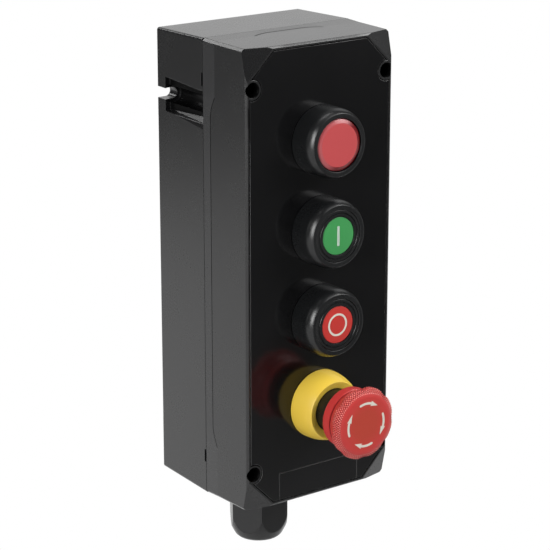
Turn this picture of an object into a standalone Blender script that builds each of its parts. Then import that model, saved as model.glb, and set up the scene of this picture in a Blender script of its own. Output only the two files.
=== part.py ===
"""Explosion-proof control station: a two-shell moulded enclosure with an indicator lamp,
a start button, a stop button, an emergency stop and a cable gland.

Units are metres. The origin is the centre of the wall face, +X is to the right seen from the
front, +Y points into the wall and +Z is up, so a depth in front of the wall is a negative Y.
"""

import math

import bmesh
import bpy
from mathutils import Matrix, Vector

# Fits
GAP = 0.0003                    # between parts that seat on each other
RUNNING_GAP = 0.0004            # round a part that slides or turns
OVERRUN = 0.0100                # how far a cutter runs past the surface it opens

# Enclosure
BODY_WIDTH = 0.0990             # at the parting plane
BODY_HEIGHT = 0.2590            # at the parting plane
BODY_DEPTH = 0.0842
PARTING_DEPTH = 0.0455
BASE_DRAFT = 0.0010             # each side, over the depth of the base
COVER_DRAFT = 0.0007            # each side, over the depth of the cover
WALL = 0.0042
BASE_FLOOR = 0.0040
COVER_FRONT_WALL = 0.0044
BASE_EDGE_RADIUS = 0.0020
BASE_REAR_BEVEL = 0.0005
COVER_EDGE_CHAMFER = 0.0015
COVER_FRONT_BEVEL = 0.0010
FACET_LEG = 0.0182              # along the front edges from the corner
FACET_DROP = 0.0042             # behind the front, at the corner
SKIRT_GROOVE_DEPTH = 0.00035
SKIRT_GROOVE_WIDTH = 0.0005
SKIRT_REACH = 0.0064            # from the parting plane to the skirt line
SKIRT_SWEEP = 0.0042            # how far the line curves forward at its ends
SKIRT_SWEEP_LENGTH = 0.0130
SKIRT_SIDE_MARGIN = 0.0305      # from the end of the body to the end of the line on a long side
SKIRT_END_MARGIN = 0.0265       # from the side of the body to the end of the line on the top
REAR_RELIEF = 0.0005
REAR_RIB_WIDTH = 0.0280
REAR_PAD_LENGTH = 0.0315        # at the corners that have no mounting pocket

# Screw columns, wells and cover screws
SCREW_SIDE_INSET = 0.0050       # from the side of the body to the screw's axis
SCREW_END_INSET = 0.0223        # from the end of the body to the screw's axis
WELL_RADIUS = 0.0037
WELL_BOSS_WALL = 0.0022
WELL_DEPTH = 0.0242
COVER_SCREW_RADIUS = 0.0019
COVER_SCREW_HEAD_RADIUS = 0.0033
COVER_SCREW_HEAD_HEIGHT = 0.0040
COVER_SCREW_BITE = 0.0215       # below the parting plane
COVER_SCREW_RUN_OUT = 0.0020    # of the hole beyond the screw's tip
SCREW_CHAMFER = 0.0004          # on the head and on the tip
SCREW_SLOT_WIDTH = 0.0009
SCREW_SLOT_DEPTH = 0.0012
COLUMN_WALL = 0.0053            # from the screw hole to the inside of its column
COLUMN_BELOW = 0.0075           # from the screw centre to the end of its column
PRY_SLOT_LENGTH = 0.0072
PRY_SLOT_HEIGHT = 0.0016
PRY_SLOT_REACH = 0.0024

# Mounting pockets, upper left and lower right
POCKET_END_INSET = 0.0363       # from the end of the body to the middle of the pocket
POCKET_HEIGHT = 0.0184
POCKET_REACH = 0.0040           # into the side, at the parting plane
EAR_THICKNESS = 0.0080
EAR_SLOT_DROP = 0.00055         # of the slot below the middle of the pocket
EAR_SLOT_WIDTH = 0.0063
EAR_SLOT_INSET = 0.0060         # from the side of the body to the round end's centre
HEAD_CHANNEL_RADIUS = 0.0052
HEAD_SEAT_DEPTH = 0.0006        # spot face for the screw head, into the ear
POCKET_COLUMN_WALL = 0.0048     # from the head channel to the inside of the column
POCKET_COLUMN_BELOW = 0.0080    # from the pocket floor to the end of the column
RELIEF_DROP = 0.0042
RELIEF_REACH = 0.0012

# Gasket between the shells
GASKET_WIDTH = 0.0012
GASKET_HEIGHT = 0.0015
GASKET_LAND = 0.0010            # between the cavity and the gasket groove

# Front plate and inscription plate
PLATE_THICKNESS = 0.0012
PLATE_MARGIN = 0.0025           # from the edge of the front
PLATE_FACET_MARGIN = 0.0015
INSCRIPTION_MARGIN = 0.0040     # from the cut corner of the front plate
INSCRIPTION_HEIGHT = 0.0155
INSCRIPTION_THICKNESS = 0.0005

# Operators, one above the other
OPERATOR_PITCH = 0.0500
BARREL_RADIUS = 0.0110
BARREL_LENGTH = 0.0180          # behind the front
COLLAR_RADIUS = 0.0192
COLLAR_HEIGHT = 0.0168
COLLAR_SHOULDER_WIDTH = 0.00214
COLLAR_SHOULDER_HEIGHT = 0.0055
COLLAR_RIM_WIDTH = 0.00241
SEAL_EDGE_INSET = 0.0023        # from the outside of the collar
SEAL_BORE_CLEARANCE = 0.0016    # outside the panel hole
SEAL_THICKNESS = 0.0012
LOCK_NUT_RADIUS = 0.0155
LOCK_NUT_NOTCH = 0.0014
LOCK_NUT_NOTCHES = 5
LOCK_NUT_LAND_SHARE = 0.5       # of each pitch that stays at the full radius
LOCK_NUT_ROOT_SHARE = 0.3       # of each pitch that lies at the bottom of the notch
LOCK_NUT_THICKNESS = 0.0045
BLOCK_WIDTH = 0.0300
BLOCK_LENGTH = 0.0380
BLOCK_DEPTH = 0.0210
BLOCK_STEP = 0.0060
BLOCK_TAIL = 0.0074             # depth of the narrow terminal end
BLOCK_NECK = 0.0059             # depth of the taper towards the panel

# Indicator lamp
LAMP_BARREL_WALL = 0.0025
LENS_BEVEL_WIDTH = 0.00215
LENS_BEVEL_HEIGHT = 0.0011
LENS_WALL = 0.0017
LED_RADIUS = 0.0060
LED_DROP = 0.0041               # of its tip below the inside of the lens

# Push buttons
BUTTON_TRAVEL = 0.0040
BUTTON_STOP_GAP = 0.0008        # left under a pressed button
CAP_THICKNESS = 0.0057
CAP_SINK = 0.0003               # below the collar rim
CAP_GROOVE_INSET = 0.00175
CAP_GROOVE_WIDTH = 0.0005
CAP_GROOVE_DEPTH = 0.0004
INSERT_RADIUS = 0.0104
INSERT_THICKNESS = 0.0017
STEM_RADIUS = 0.0040
STEM_BEHIND_BARREL = 0.0040
BUTTON_SPRING_RADIUS = 0.0068
BUTTON_SPRING_WIRE = 0.0003
BUTTON_SPRING_TURNS = 3
SPRING_POCKET_CLEARANCE = 0.0011
SPRING_POCKET_DEPTH = 0.0020
STEM_SOCKET = 0.0008            # above the spring pocket

# Emergency stop
ESTOP_TRAVEL = 0.0060
ESTOP_STOP_GAP = 0.0017         # left under the pressed head
ESTOP_COLLAR_RADIUS = 0.0196
ESTOP_COLLAR_STRAIGHT = 0.0020
ESTOP_COLLAR_BULGE_INSET = 0.0003
ESTOP_COLLAR_BULGE_HEIGHT = 0.0095
ESTOP_RIM_INSET = 0.00315
ESTOP_RIM_HEIGHT = 0.0151
ESTOP_LIP_WIDTH = 0.00402
ESTOP_LIP_DROP = 0.0015         # of its inner edge below the rim
ESTOP_COLLAR_FLOOR = 0.0037
SLEEVE_WALL = 0.00343
SLEEVE_FLOOR = 0.0020
ESTOP_STEM_RADIUS = 0.0045
ESTOP_STEM_COVER = 0.0040       # of the head over the end of the stem
HEAD_HEIGHT = 0.0420
HEAD_RADIUS = 0.0203
HEAD_TIER_HEIGHT = 0.0110       # from the seam above the skirt to the face
HEAD_FLARE_WIDTH = 0.0033
HEAD_FLARE = ((0.25, 0.30), (0.75, 0.62), (1.00, 0.88))     # shares of the flare's width and height
HEAD_BEVEL_WIDTH = 0.0048
HEAD_BEVEL_HEIGHT = 0.0023
HEAD_BEVEL = (0.21, 0.55)       # shares of the bevel's width and height at its bend
HEAD_SCALLOPS = 8
HEAD_SCALLOP_DEPTH = 0.0006
HEAD_HUB_DROP = 0.0040          # below the seam
SKIRT_HEIGHT = 0.0058
SKIRT_INSET = 0.0034            # from the widest ring of the head
ESTOP_SPRING_CLEARANCE = 0.0015
ESTOP_SPRING_WIRE = 0.0005
ESTOP_SPRING_TURNS = 4

# Terminal rail, terminals and earth bar inside the base
RAIL_LENGTH = 0.1320
RAIL_WIDTH = 0.0350
RAIL_CHANNEL_WIDTH = 0.0270
RAIL_HEIGHT = 0.0075
RAIL_THICKNESS = 0.0010
RAIL_SCREW_INSET = 0.0100       # from the end of the rail
TERMINAL_COUNT = 4
TERMINAL_THICKNESS = 0.0100
TERMINAL_WIDTH = 0.0420
TERMINAL_TOP_WIDTH = 0.0200
TERMINAL_HEIGHT = 0.0165
TERMINAL_SHOULDER = 0.0085
TERMINAL_SLOPE = 0.0030
EARTH_BAR_INSET = 0.0355        # from the foot of the body
EARTH_BAR_LENGTH = 0.0400
EARTH_BAR_HEIGHT = 0.0100
EARTH_BAR_THICKNESS = 0.0050
SMALL_SCREW_RADIUS = 0.0018
SMALL_SCREW_HEAD_RADIUS = 0.0036
SMALL_SCREW_HEAD_HEIGHT = 0.0022
SMALL_SCREW_BITE = 0.0025       # into the floor of the base

# Cable gland under the base
GLAND_INSET = 0.0188            # of its axis behind the parting plane
GLAND_SEAT_RECESS = 0.0009      # into the foot of the body
GLAND_THREAD_RADIUS = 0.0124
GLAND_THREAD_WALL = 0.0028
GLAND_ACROSS_FLATS = 0.0320
GLAND_WASHER_WIDTH = 0.0028
GLAND_WASHER_THICKNESS = 0.0015
GLAND_SEAT_CLEARANCE = 0.0007   # round the washer
GLAND_FLANGE_HEIGHT = 0.0070
GLAND_INNER_LENGTH = 0.0165     # of thread above the seat
GLAND_NECK_WALL = 0.0012
GLAND_NECK_LENGTH = 0.0200      # below the flange
CABLE_RADIUS = 0.0085           # largest cable
GLAND_SEAL_THICKNESS = 0.0032
GLAND_SEAL_LENGTH = 0.0205
GLAND_SEAL_TAPER = 0.0030
GLAND_SEAL_LIP = 0.0010
GLAND_SEAL_SEAT = 0.0010        # of the seal's upper end, below the flange
GLAND_NUT_THICKNESS = 0.0050
GLAND_NUT_ACROSS_FLATS = 0.0290
CAP_NUT_LENGTH = 0.0350
CAP_NUT_CONE_LENGTH = 0.0125
CAP_NUT_END_INSET = 0.0020      # of the end's edge inside the flats
CAP_NUT_END_ROUND = 0.0014
CAP_NUT_BOW = 0.10              # of the cone's outline, as a share of its reach
CAP_NUT_HOLE_CLEARANCE = 0.0005     # round the largest cable
CAP_NUT_THROAT_GAP = 0.0010     # below the seal
CAP_NUT_THROAT_TAPER = 0.0040

FINE = 26                       # segments round a visible turned part
COARSE = 16                     # segments round a small or hidden one
HOLE_SEGMENTS = 20              # segments round a panel hole or a channel
SCREW_SEGMENTS = 10             # segments round a screw and its hole

HALF_WIDTH = BODY_WIDTH / 2
HALF_HEIGHT = BODY_HEIGHT / 2
FRONT_HALF_WIDTH = HALF_WIDTH - COVER_DRAFT
FRONT_HALF_HEIGHT = HALF_HEIGHT - COVER_DRAFT
FRONT_SUM = FRONT_HALF_WIDTH + FRONT_HALF_HEIGHT - FACET_LEG    # |x| + |z| on the facet's front edge
RIM_DEPTH = PARTING_DEPTH - GAP / 2
COVER_RIM_DEPTH = PARTING_DEPTH + GAP / 2
CAVITY_HALF_WIDTH = HALF_WIDTH - WALL
CAVITY_HALF_HEIGHT = HALF_HEIGHT - WALL
PLATE_HALF_WIDTH = FRONT_HALF_WIDTH - PLATE_MARGIN
PLATE_HALF_HEIGHT = FRONT_HALF_HEIGHT - PLATE_MARGIN
PLATE_SUM = FRONT_SUM - math.sqrt(2) * PLATE_FACET_MARGIN       # |x| + |z| on the plate's cut corner

SCREW_X = HALF_WIDTH - SCREW_SIDE_INSET
SCREW_Z = HALF_HEIGHT - SCREW_END_INSET
SCREW_HOLE_RADIUS = COVER_SCREW_RADIUS + GAP
WELL_FLOOR_DEPTH = BODY_DEPTH - WELL_DEPTH
COVER_SCREW_TIP_DEPTH = PARTING_DEPTH - COVER_SCREW_BITE
POCKET_Z = HALF_HEIGHT - POCKET_END_INSET
POCKET_FLOOR_Z = POCKET_Z - POCKET_HEIGHT / 2
EAR_SLOT_X = HALF_WIDTH - EAR_SLOT_INSET
EAR_SLOT_Z = POCKET_Z - EAR_SLOT_DROP
EARTH_BAR_Z = -HALF_HEIGHT + EARTH_BAR_INSET
RAIL_SCREW_Z = RAIL_LENGTH / 2 - RAIL_SCREW_INSET

OPERATOR_Z = [OPERATOR_PITCH * step for step in (1.5, 0.5, -0.5, -1.5)]
LAMP_Z, START_Z, STOP_Z, ESTOP_Z = OPERATOR_Z
PANEL_HOLE_RADIUS = BARREL_RADIUS + GAP
SEAL_BORE_RADIUS = PANEL_HOLE_RADIUS + SEAL_BORE_CLEARANCE
SEAL_RADIUS = COLLAR_RADIUS - SEAL_EDGE_INSET
NUT_FACE = COVER_FRONT_WALL + GAP                               # behind the front, where a lock nut bears
BLOCK_FACE = BARREL_LENGTH + GAP
COLLAR_RIM_RADIUS = COLLAR_RADIUS - COLLAR_SHOULDER_WIDTH
COLLAR_BORE_RADIUS = COLLAR_RIM_RADIUS - COLLAR_RIM_WIDTH
CAP_RADIUS = COLLAR_BORE_RADIUS - GAP
CAP_FRONT = COLLAR_HEIGHT - CAP_SINK
CAP_BACK = CAP_FRONT - CAP_THICKNESS
COLLAR_BORE_FLOOR = CAP_BACK - BUTTON_TRAVEL - BUTTON_STOP_GAP

ESTOP_RIM_RADIUS = ESTOP_COLLAR_RADIUS - ESTOP_RIM_INSET
ESTOP_LIP_RADIUS = ESTOP_RIM_RADIUS - ESTOP_LIP_WIDTH
SLEEVE_RADIUS = ESTOP_LIP_RADIUS - RUNNING_GAP
SLEEVE_BORE_RADIUS = SLEEVE_RADIUS - SLEEVE_WALL
SKIRT_TOP = HEAD_HEIGHT - HEAD_TIER_HEIGHT
SKIRT_BOTTOM = SKIRT_TOP - SKIRT_HEIGHT
SKIRT_RADIUS = HEAD_RADIUS - SKIRT_INSET
HEAD_FOOT = SKIRT_TOP + GAP
HEAD_NECK_RADIUS = HEAD_RADIUS - HEAD_FLARE_WIDTH
HEAD_RIM_HEIGHT = HEAD_HEIGHT - HEAD_BEVEL_HEIGHT
HEAD_HUB_BOTTOM = SKIRT_TOP - HEAD_HUB_DROP
HEAD_HUB_RADIUS = SLEEVE_BORE_RADIUS - RUNNING_GAP
SLEEVE_TOP = HEAD_FOOT - ESTOP_TRAVEL - ESTOP_STOP_GAP
ESTOP_STEM_TOP = HEAD_HEIGHT - ESTOP_STEM_COVER
ESTOP_SPRING_RADIUS = SLEEVE_BORE_RADIUS - ESTOP_SPRING_WIRE - ESTOP_SPRING_CLEARANCE

GLAND_DEPTH = PARTING_DEPTH - GLAND_INSET
GLAND_SEAT_Z = -HALF_HEIGHT + GLAND_SEAT_RECESS
GLAND_BORE_RADIUS = GLAND_THREAD_RADIUS - GLAND_THREAD_WALL
GLAND_WASHER_RADIUS = GLAND_THREAD_RADIUS + GAP + GLAND_WASHER_WIDTH
GLAND_SEAT_RADIUS = GLAND_WASHER_RADIUS + GLAND_SEAT_CLEARANCE
GLAND_SEAL_RADIUS = CABLE_RADIUS + GLAND_SEAL_THICKNESS
GLAND_NECK_RADIUS = GLAND_SEAL_RADIUS + GAP + GLAND_NECK_WALL
CAP_NUT_END_RADIUS = GLAND_ACROSS_FLATS / 2 - CAP_NUT_END_INSET
CAP_NUT_HOLE_RADIUS = CABLE_RADIUS + CAP_NUT_HOLE_CLEARANCE
FLANGE_TOP_Z = GLAND_SEAT_Z - GLAND_WASHER_THICKNESS - 2 * GAP
FLANGE_BOTTOM_Z = FLANGE_TOP_Z - GLAND_FLANGE_HEIGHT
CAP_NUT_TOP_Z = FLANGE_BOTTOM_Z - GAP
CAP_NUT_END_Z = CAP_NUT_TOP_Z - CAP_NUT_LENGTH


def clear_scene():
    for item in list(bpy.data.objects):
        bpy.data.objects.remove(item)


def finish_material(name, colour, roughness, metallic=0.0):
    mat = bpy.data.materials.new(name)
    mat.use_nodes = True
    shader = mat.node_tree.nodes["Principled BSDF"]
    shader.inputs["Base Color"].default_value = (*colour, 1.0)
    shader.inputs["Roughness"].default_value = roughness
    shader.inputs["Metallic"].default_value = metallic
    return mat


def place(name, bm, finish, location=(0, 0, 0), parent=None):
    """Turn a bmesh into a named object; its faces are pointed outwards first."""
    bmesh.ops.remove_doubles(bm, verts=bm.verts, dist=1e-7)
    bmesh.ops.recalc_face_normals(bm, faces=bm.faces)
    mesh = bpy.data.meshes.new(name)
    bm.to_mesh(mesh)
    bm.free()
    mesh.shade_smooth()
    mesh.set_sharp_from_angle(angle=math.radians(35))
    item = bpy.data.objects.new(name, mesh)
    bpy.context.scene.collection.objects.link(item)
    item.location = location
    item.parent = parent
    if finish:
        material = finish_material(f"{name}_finish", *finish)
        mesh.materials.append(material)
    return item


def boolean(item, tool, operation="DIFFERENCE"):
    tool.hide_render = True
    tool.display_type = "WIRE"
    step = item.modifiers.new(tool.name, "BOOLEAN")
    step.operation = operation
    step.solver = "EXACT"
    step.object = tool


def skin(rings, joined=False):
    """Closed surface through rings of points; the ends are capped unless the last meets the first."""
    bm = bmesh.new()
    loops = [[bm.verts.new(point) for point in ring] for ring in rings]
    count = len(loops[0])
    pairs = list(zip(loops, loops[1:]))
    if joined:
        pairs.append((loops[-1], loops[0]))
    for lower, upper in pairs:
        for i in range(count):
            j = (i + 1) % count
            bm.faces.new((lower[i], lower[j], upper[j], upper[i]))
    if not joined:
        bm.faces.new(loops[0])
        bm.faces.new(loops[-1])
    return bm


def front_prism(outline, near, far):
    """Outline in X and Z, drawn out from one depth to another."""
    return skin([[(x, -depth, z) for x, z in outline] for depth in (near, far)])


def upright_prism(outline, low, high):
    """Outline in X and Y, drawn out from one height to another."""
    return skin([[(x, y, z) for x, y in outline] for z in (low, high)])


def front_ring(outer, inner, near, far):
    """Tube with matching outer and inner outlines in X and Z."""
    rings = [
        [(x, -near, z) for x, z in outer],
        [(x, -far, z) for x, z in outer],
        [(x, -far, z) for x, z in inner],
        [(x, -near, z) for x, z in inner],
    ]
    return skin(rings, joined=True)


def box(low, high):
    bm = bmesh.new()
    size = [b - a for a, b in zip(low, high)]
    middle = [(a + b) / 2 for a, b in zip(low, high)]
    matrix = Matrix.Translation(middle) @ Matrix.Diagonal((*size, 1.0))
    bmesh.ops.create_cube(bm, size=1.0, matrix=matrix)
    return bm


def turned(profile, segments, axis="Y"):
    """Profile of (radius, height) points turned about Y, with heights towards -Y, or about Z."""
    bm = bmesh.new()
    if axis == "Y":
        points = [(radius, -height, 0.0) for radius, height in profile]
        direction = (0.0, 1.0, 0.0)
    else:
        points = [(radius, 0.0, height) for radius, height in profile]
        direction = (0.0, 0.0, 1.0)
    verts = [bm.verts.new(point) for point in points]
    edges = [bm.edges.new(pair) for pair in zip(verts, verts[1:])]
    if min(profile[0][0], profile[-1][0]) > 0:
        edges.append(bm.edges.new((verts[-1], verts[0])))
    bmesh.ops.spin(
        bm, geom=verts + edges, cent=(0, 0, 0), axis=direction,
        angle=math.tau, steps=segments, use_merge=True, use_duplicate=False,
    )
    bmesh.ops.remove_doubles(bm, verts=bm.verts, dist=1e-6)
    return bm


def disc(radius, low, high):
    """Profile of a plain cylinder."""
    return [(0.0, low), (radius, low), (radius, high), (0.0, high)]


def sleeve(inner, outer, low, high):
    """Profile of a plain ring."""
    return [(inner, low), (outer, low), (outer, high), (inner, high)]


def circle(radius, count, turn=0.0, centre=(0.0, 0.0)):
    return [
        (centre[0] + radius * math.cos(turn + math.tau * i / count),
         centre[1] + radius * math.sin(turn + math.tau * i / count))
        for i in range(count)
    ]


def hexagon(across_flats, centre=(0.0, 0.0)):
    """Corners on the X axis, flats towards the front and back."""
    return circle(across_flats / math.sqrt(3), 6, centre=centre)


def rounded_rectangle(half_width, half_height, radius, steps):
    points = []
    for quarter, (sx, sz) in enumerate(((1, 1), (-1, 1), (-1, -1), (1, -1))):
        for i in range(steps + 1):
            angle = math.radians(90) * (quarter + i / steps)
            points.append((
                sx * (half_width - radius) + radius * math.cos(angle),
                sz * (half_height - radius) + radius * math.sin(angle),
            ))
    return points


def spring(radius, wire, turns, low, high, steps=9, sides=5):
    """Round-wire helix about Y between two heights, with plain cut ends."""
    rise = (high - low - 2 * wire) / (turns * steps)
    slope = math.atan2(rise * steps, math.tau * radius)
    rings = []
    for i in range(turns * steps + 1):
        angle = math.tau * i / steps
        height = low + wire + rise * i
        outward = Vector((math.cos(angle), 0.0, math.sin(angle)))
        along = Vector((-math.sin(angle), 0.0, math.cos(angle)))
        across = Vector((0.0, -1.0, 0.0)) * math.cos(slope) - along * math.sin(slope)
        middle = outward * radius + Vector((0.0, -height, 0.0))
        rings.append([
            middle + wire * (math.cos(math.tau * k / sides) * outward
                             + math.sin(math.tau * k / sides) * across)
            for k in range(sides)
        ])
    return skin(rings)


def tool(bm, name, location=(0, 0, 0)):
    return place(f"cut_{name}", bm, None, location)


def cavity_outline(grow=0.0):
    """Inside of both shells, stepped round the screw columns and the mounting pockets."""
    column_x = SCREW_X - SCREW_HOLE_RADIUS - COLUMN_WALL
    column_z = SCREW_Z - COLUMN_BELOW
    pocket_x = EAR_SLOT_X - HEAD_CHANNEL_RADIUS - POCKET_COLUMN_WALL
    pocket_z = POCKET_FLOOR_Z - POCKET_COLUMN_BELOW
    width = CAVITY_HALF_WIDTH + grow
    height = CAVITY_HALF_HEIGHT + grow
    points = []
    for sx, sz in ((1, 1), (-1, 1), (-1, -1), (1, -1)):
        has_pocket = sx * sz < 0
        step_x = (pocket_x if has_pocket else column_x) + grow
        step_z = (pocket_z if has_pocket else column_z) + grow
        corner = [(sx * width, sz * step_z), (sx * step_x, sz * step_z), (sx * step_x, sz * height)]
        if has_pocket:
            corner.reverse()
        points += corner
    return points


def plate_outline(grow=0.0, arc_steps=8):
    """Front plate: corners cut along the facets and notched round the screw wells."""
    width = PLATE_HALF_WIDTH + grow
    height = PLATE_HALF_HEIGHT + grow
    reach = PLATE_SUM + math.sqrt(2) * grow
    notch = WELL_RADIUS + WELL_BOSS_WALL - grow
    start = -math.acos((width - SCREW_X) / notch)
    diagonal = (reach - SCREW_X - SCREW_Z) / math.sqrt(2)
    end = math.radians(45) + math.acos(diagonal / notch) - math.tau
    arc = []
    for i in range(arc_steps + 1):
        angle = start + (end - start) * i / arc_steps
        arc.append((SCREW_X + notch * math.cos(angle), SCREW_Z + notch * math.sin(angle)))
    quarter = arc + [(reach - height, height)]
    points = []
    for sx, sz in ((1, 1), (-1, 1), (-1, -1), (1, -1)):
        corner = [(sx * x, sz * z) for x, z in quarter]
        if sx * sz < 0:
            corner.reverse()
        points += corner
    return points


BLACK = ((0.018, 0.018, 0.019), 0.42)
GLOSS_BLACK = ((0.012, 0.012, 0.013), 0.08)
OPERATOR_BLACK = ((0.015, 0.015, 0.016), 0.35)
RUBBER = ((0.02, 0.02, 0.02), 0.75)
STEEL = ((0.60, 0.60, 0.58), 0.30, 1.0)
ZINC = ((0.55, 0.56, 0.57), 0.40, 1.0)
BRASS = ((0.78, 0.57, 0.25), 0.30, 1.0)
GREY = ((0.35, 0.36, 0.36), 0.50)
LENS_RED = ((0.50, 0.04, 0.04), 0.12)
GREEN = ((0.04, 0.33, 0.12), 0.35)
STOP_RED = ((0.55, 0.03, 0.03), 0.35)
HEAD_RED = ((0.55, 0.05, 0.03), 0.38)
YELLOW = ((0.84, 0.62, 0.06), 0.38)
WARM_WHITE = ((0.80, 0.78, 0.70), 0.40)


def build_rear_housing():
    rings = []
    for depth, inset in (
        (0.0, BASE_DRAFT + BASE_REAR_BEVEL), (BASE_REAR_BEVEL, BASE_DRAFT), (RIM_DEPTH, 0.0),
    ):
        outline = rounded_rectangle(HALF_WIDTH - inset, HALF_HEIGHT - inset, BASE_EDGE_RADIUS, 4)
        rings.append([(x, -depth, z) for x, z in outline])
    housing = place("rear_housing", skin(rings), BLACK)
    clear = RIM_DEPTH + OVERRUN

    boolean(housing, tool(front_prism(cavity_outline(), BASE_FLOOR, clear), "base_cavity"))
    groove = front_ring(
        cavity_outline(GASKET_LAND + GASKET_WIDTH + 2 * GAP), cavity_outline(GASKET_LAND),
        RIM_DEPTH - GASKET_HEIGHT - GAP, clear,
    )
    boolean(housing, tool(groove, "gasket_groove"))

    for side, name in ((-1, "upper_left"), (1, "lower_right")):
        cut_mounting_pocket(housing, side, name, clear)

    for sx in (-1, 1):
        for sz in (-1, 1):
            tag = f"{'r' if sx > 0 else 'l'}{'t' if sz > 0 else 'b'}"
            hole_end = COVER_SCREW_TIP_DEPTH - COVER_SCREW_RUN_OUT
            hole = turned(disc(SCREW_HOLE_RADIUS, hole_end, clear), SCREW_SEGMENTS)
            boolean(housing, tool(hole, f"screw_hole_{tag}", (sx * SCREW_X, 0, sz * SCREW_Z)))
            slot_x = sorted((sx * (HALF_WIDTH - PRY_SLOT_REACH), sx * (HALF_WIDTH + OVERRUN)))
            slot = box(
                (slot_x[0], -clear, sz * SCREW_Z - PRY_SLOT_LENGTH / 2),
                (slot_x[1], -(PARTING_DEPTH - PRY_SLOT_HEIGHT), sz * SCREW_Z + PRY_SLOT_LENGTH / 2),
            )
            boolean(housing, tool(slot, f"pry_slot_{tag}"))

    for side in (-1, 1):
        window = sorted((side * REAR_RIB_WIDTH / 2, side * (HALF_WIDTH + OVERRUN)))
        ear_end = POCKET_FLOOR_Z - RELIEF_DROP
        pad_end = HALF_HEIGHT - REAR_PAD_LENGTH
        low = -pad_end if side < 0 else -ear_end
        high = ear_end if side < 0 else pad_end
        relief = box((window[0], -REAR_RELIEF, low), (window[1], OVERRUN, high))
        boolean(housing, tool(relief, f"rear_relief_{'left' if side < 0 else 'right'}"))

    below = -HALF_HEIGHT - OVERRUN
    above = -CAVITY_HALF_HEIGHT + OVERRUN
    thread_hole = GLAND_THREAD_RADIUS + GAP
    entry = [(0.0, below), (GLAND_SEAT_RADIUS, below), (GLAND_SEAT_RADIUS, GLAND_SEAT_Z),
             (thread_hole, GLAND_SEAT_Z), (thread_hole, above), (0.0, above)]
    boolean(housing, tool(turned(entry, FINE, axis="Z"), "gland_entry", (0, -GLAND_DEPTH, 0)))

    for tag, z in (("rail_top", RAIL_SCREW_Z), ("rail_foot", -RAIL_SCREW_Z), ("earth", EARTH_BAR_Z)):
        pilot_end = BASE_FLOOR - SMALL_SCREW_BITE - GAP
        pilot = turned(disc(SMALL_SCREW_RADIUS + GAP, pilot_end, OVERRUN), SCREW_SEGMENTS)
        boolean(housing, tool(pilot, f"pilot_{tag}", (0, 0, z)))
    return housing


def cut_mounting_pocket(housing, side, name, clear):
    """Pocket in the side, its open slot through the ear, the channel for the screw head and the
    sloping relief below it. The lower right pocket is the upper left one turned half round."""
    up = -side
    inner_x = HALF_WIDTH - POCKET_REACH
    outer_x = HALF_WIDTH + OVERRUN
    xs = sorted((side * inner_x, side * outer_x))
    zs = sorted((up * POCKET_FLOOR_Z, up * (POCKET_FLOOR_Z + POCKET_HEIGHT)))
    pocket = box((xs[0], -clear, zs[0]), (xs[1], -EAR_THICKNESS, zs[1]))
    boolean(housing, tool(pocket, f"pocket_{name}"))

    centre = (side * EAR_SLOT_X, 0, up * EAR_SLOT_Z)
    channel = turned(disc(HEAD_CHANNEL_RADIUS, EAR_THICKNESS - HEAD_SEAT_DEPTH, clear), HOLE_SEGMENTS)
    boolean(housing, tool(channel, f"head_channel_{name}", centre))

    half = EAR_SLOT_WIDTH / 2
    steps = 8
    turn = math.radians(90)
    bend = [
        (side * (EAR_SLOT_X - half * math.sin(turn * 2 * i / steps)),
         up * EAR_SLOT_Z + half * math.cos(turn * 2 * i / steps))
        for i in range(steps + 1)
    ]
    outline = [(side * outer_x, up * EAR_SLOT_Z + half)] + bend
    outline += [(side * outer_x, up * EAR_SLOT_Z - half)]
    slot = front_prism(outline, -OVERRUN, EAR_THICKNESS + GAP)
    boolean(housing, tool(slot, f"ear_slot_{name}"))

    floor = up * (POCKET_FLOOR_Z + 2 * GAP)
    relief_x = sorted((side * (HALF_WIDTH - RELIEF_REACH), side * outer_x))
    start = -EAR_THICKNESS - RELIEF_REACH
    slope = [(start, up * (POCKET_FLOOR_Z - GAP)), (-clear, up * (POCKET_FLOOR_Z - RELIEF_DROP)),
             (-clear, floor), (start, floor)]
    wedge = skin([[(x, y, z) for y, z in slope] for x in relief_x])
    boolean(housing, tool(wedge, f"pocket_relief_{name}"))


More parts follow.
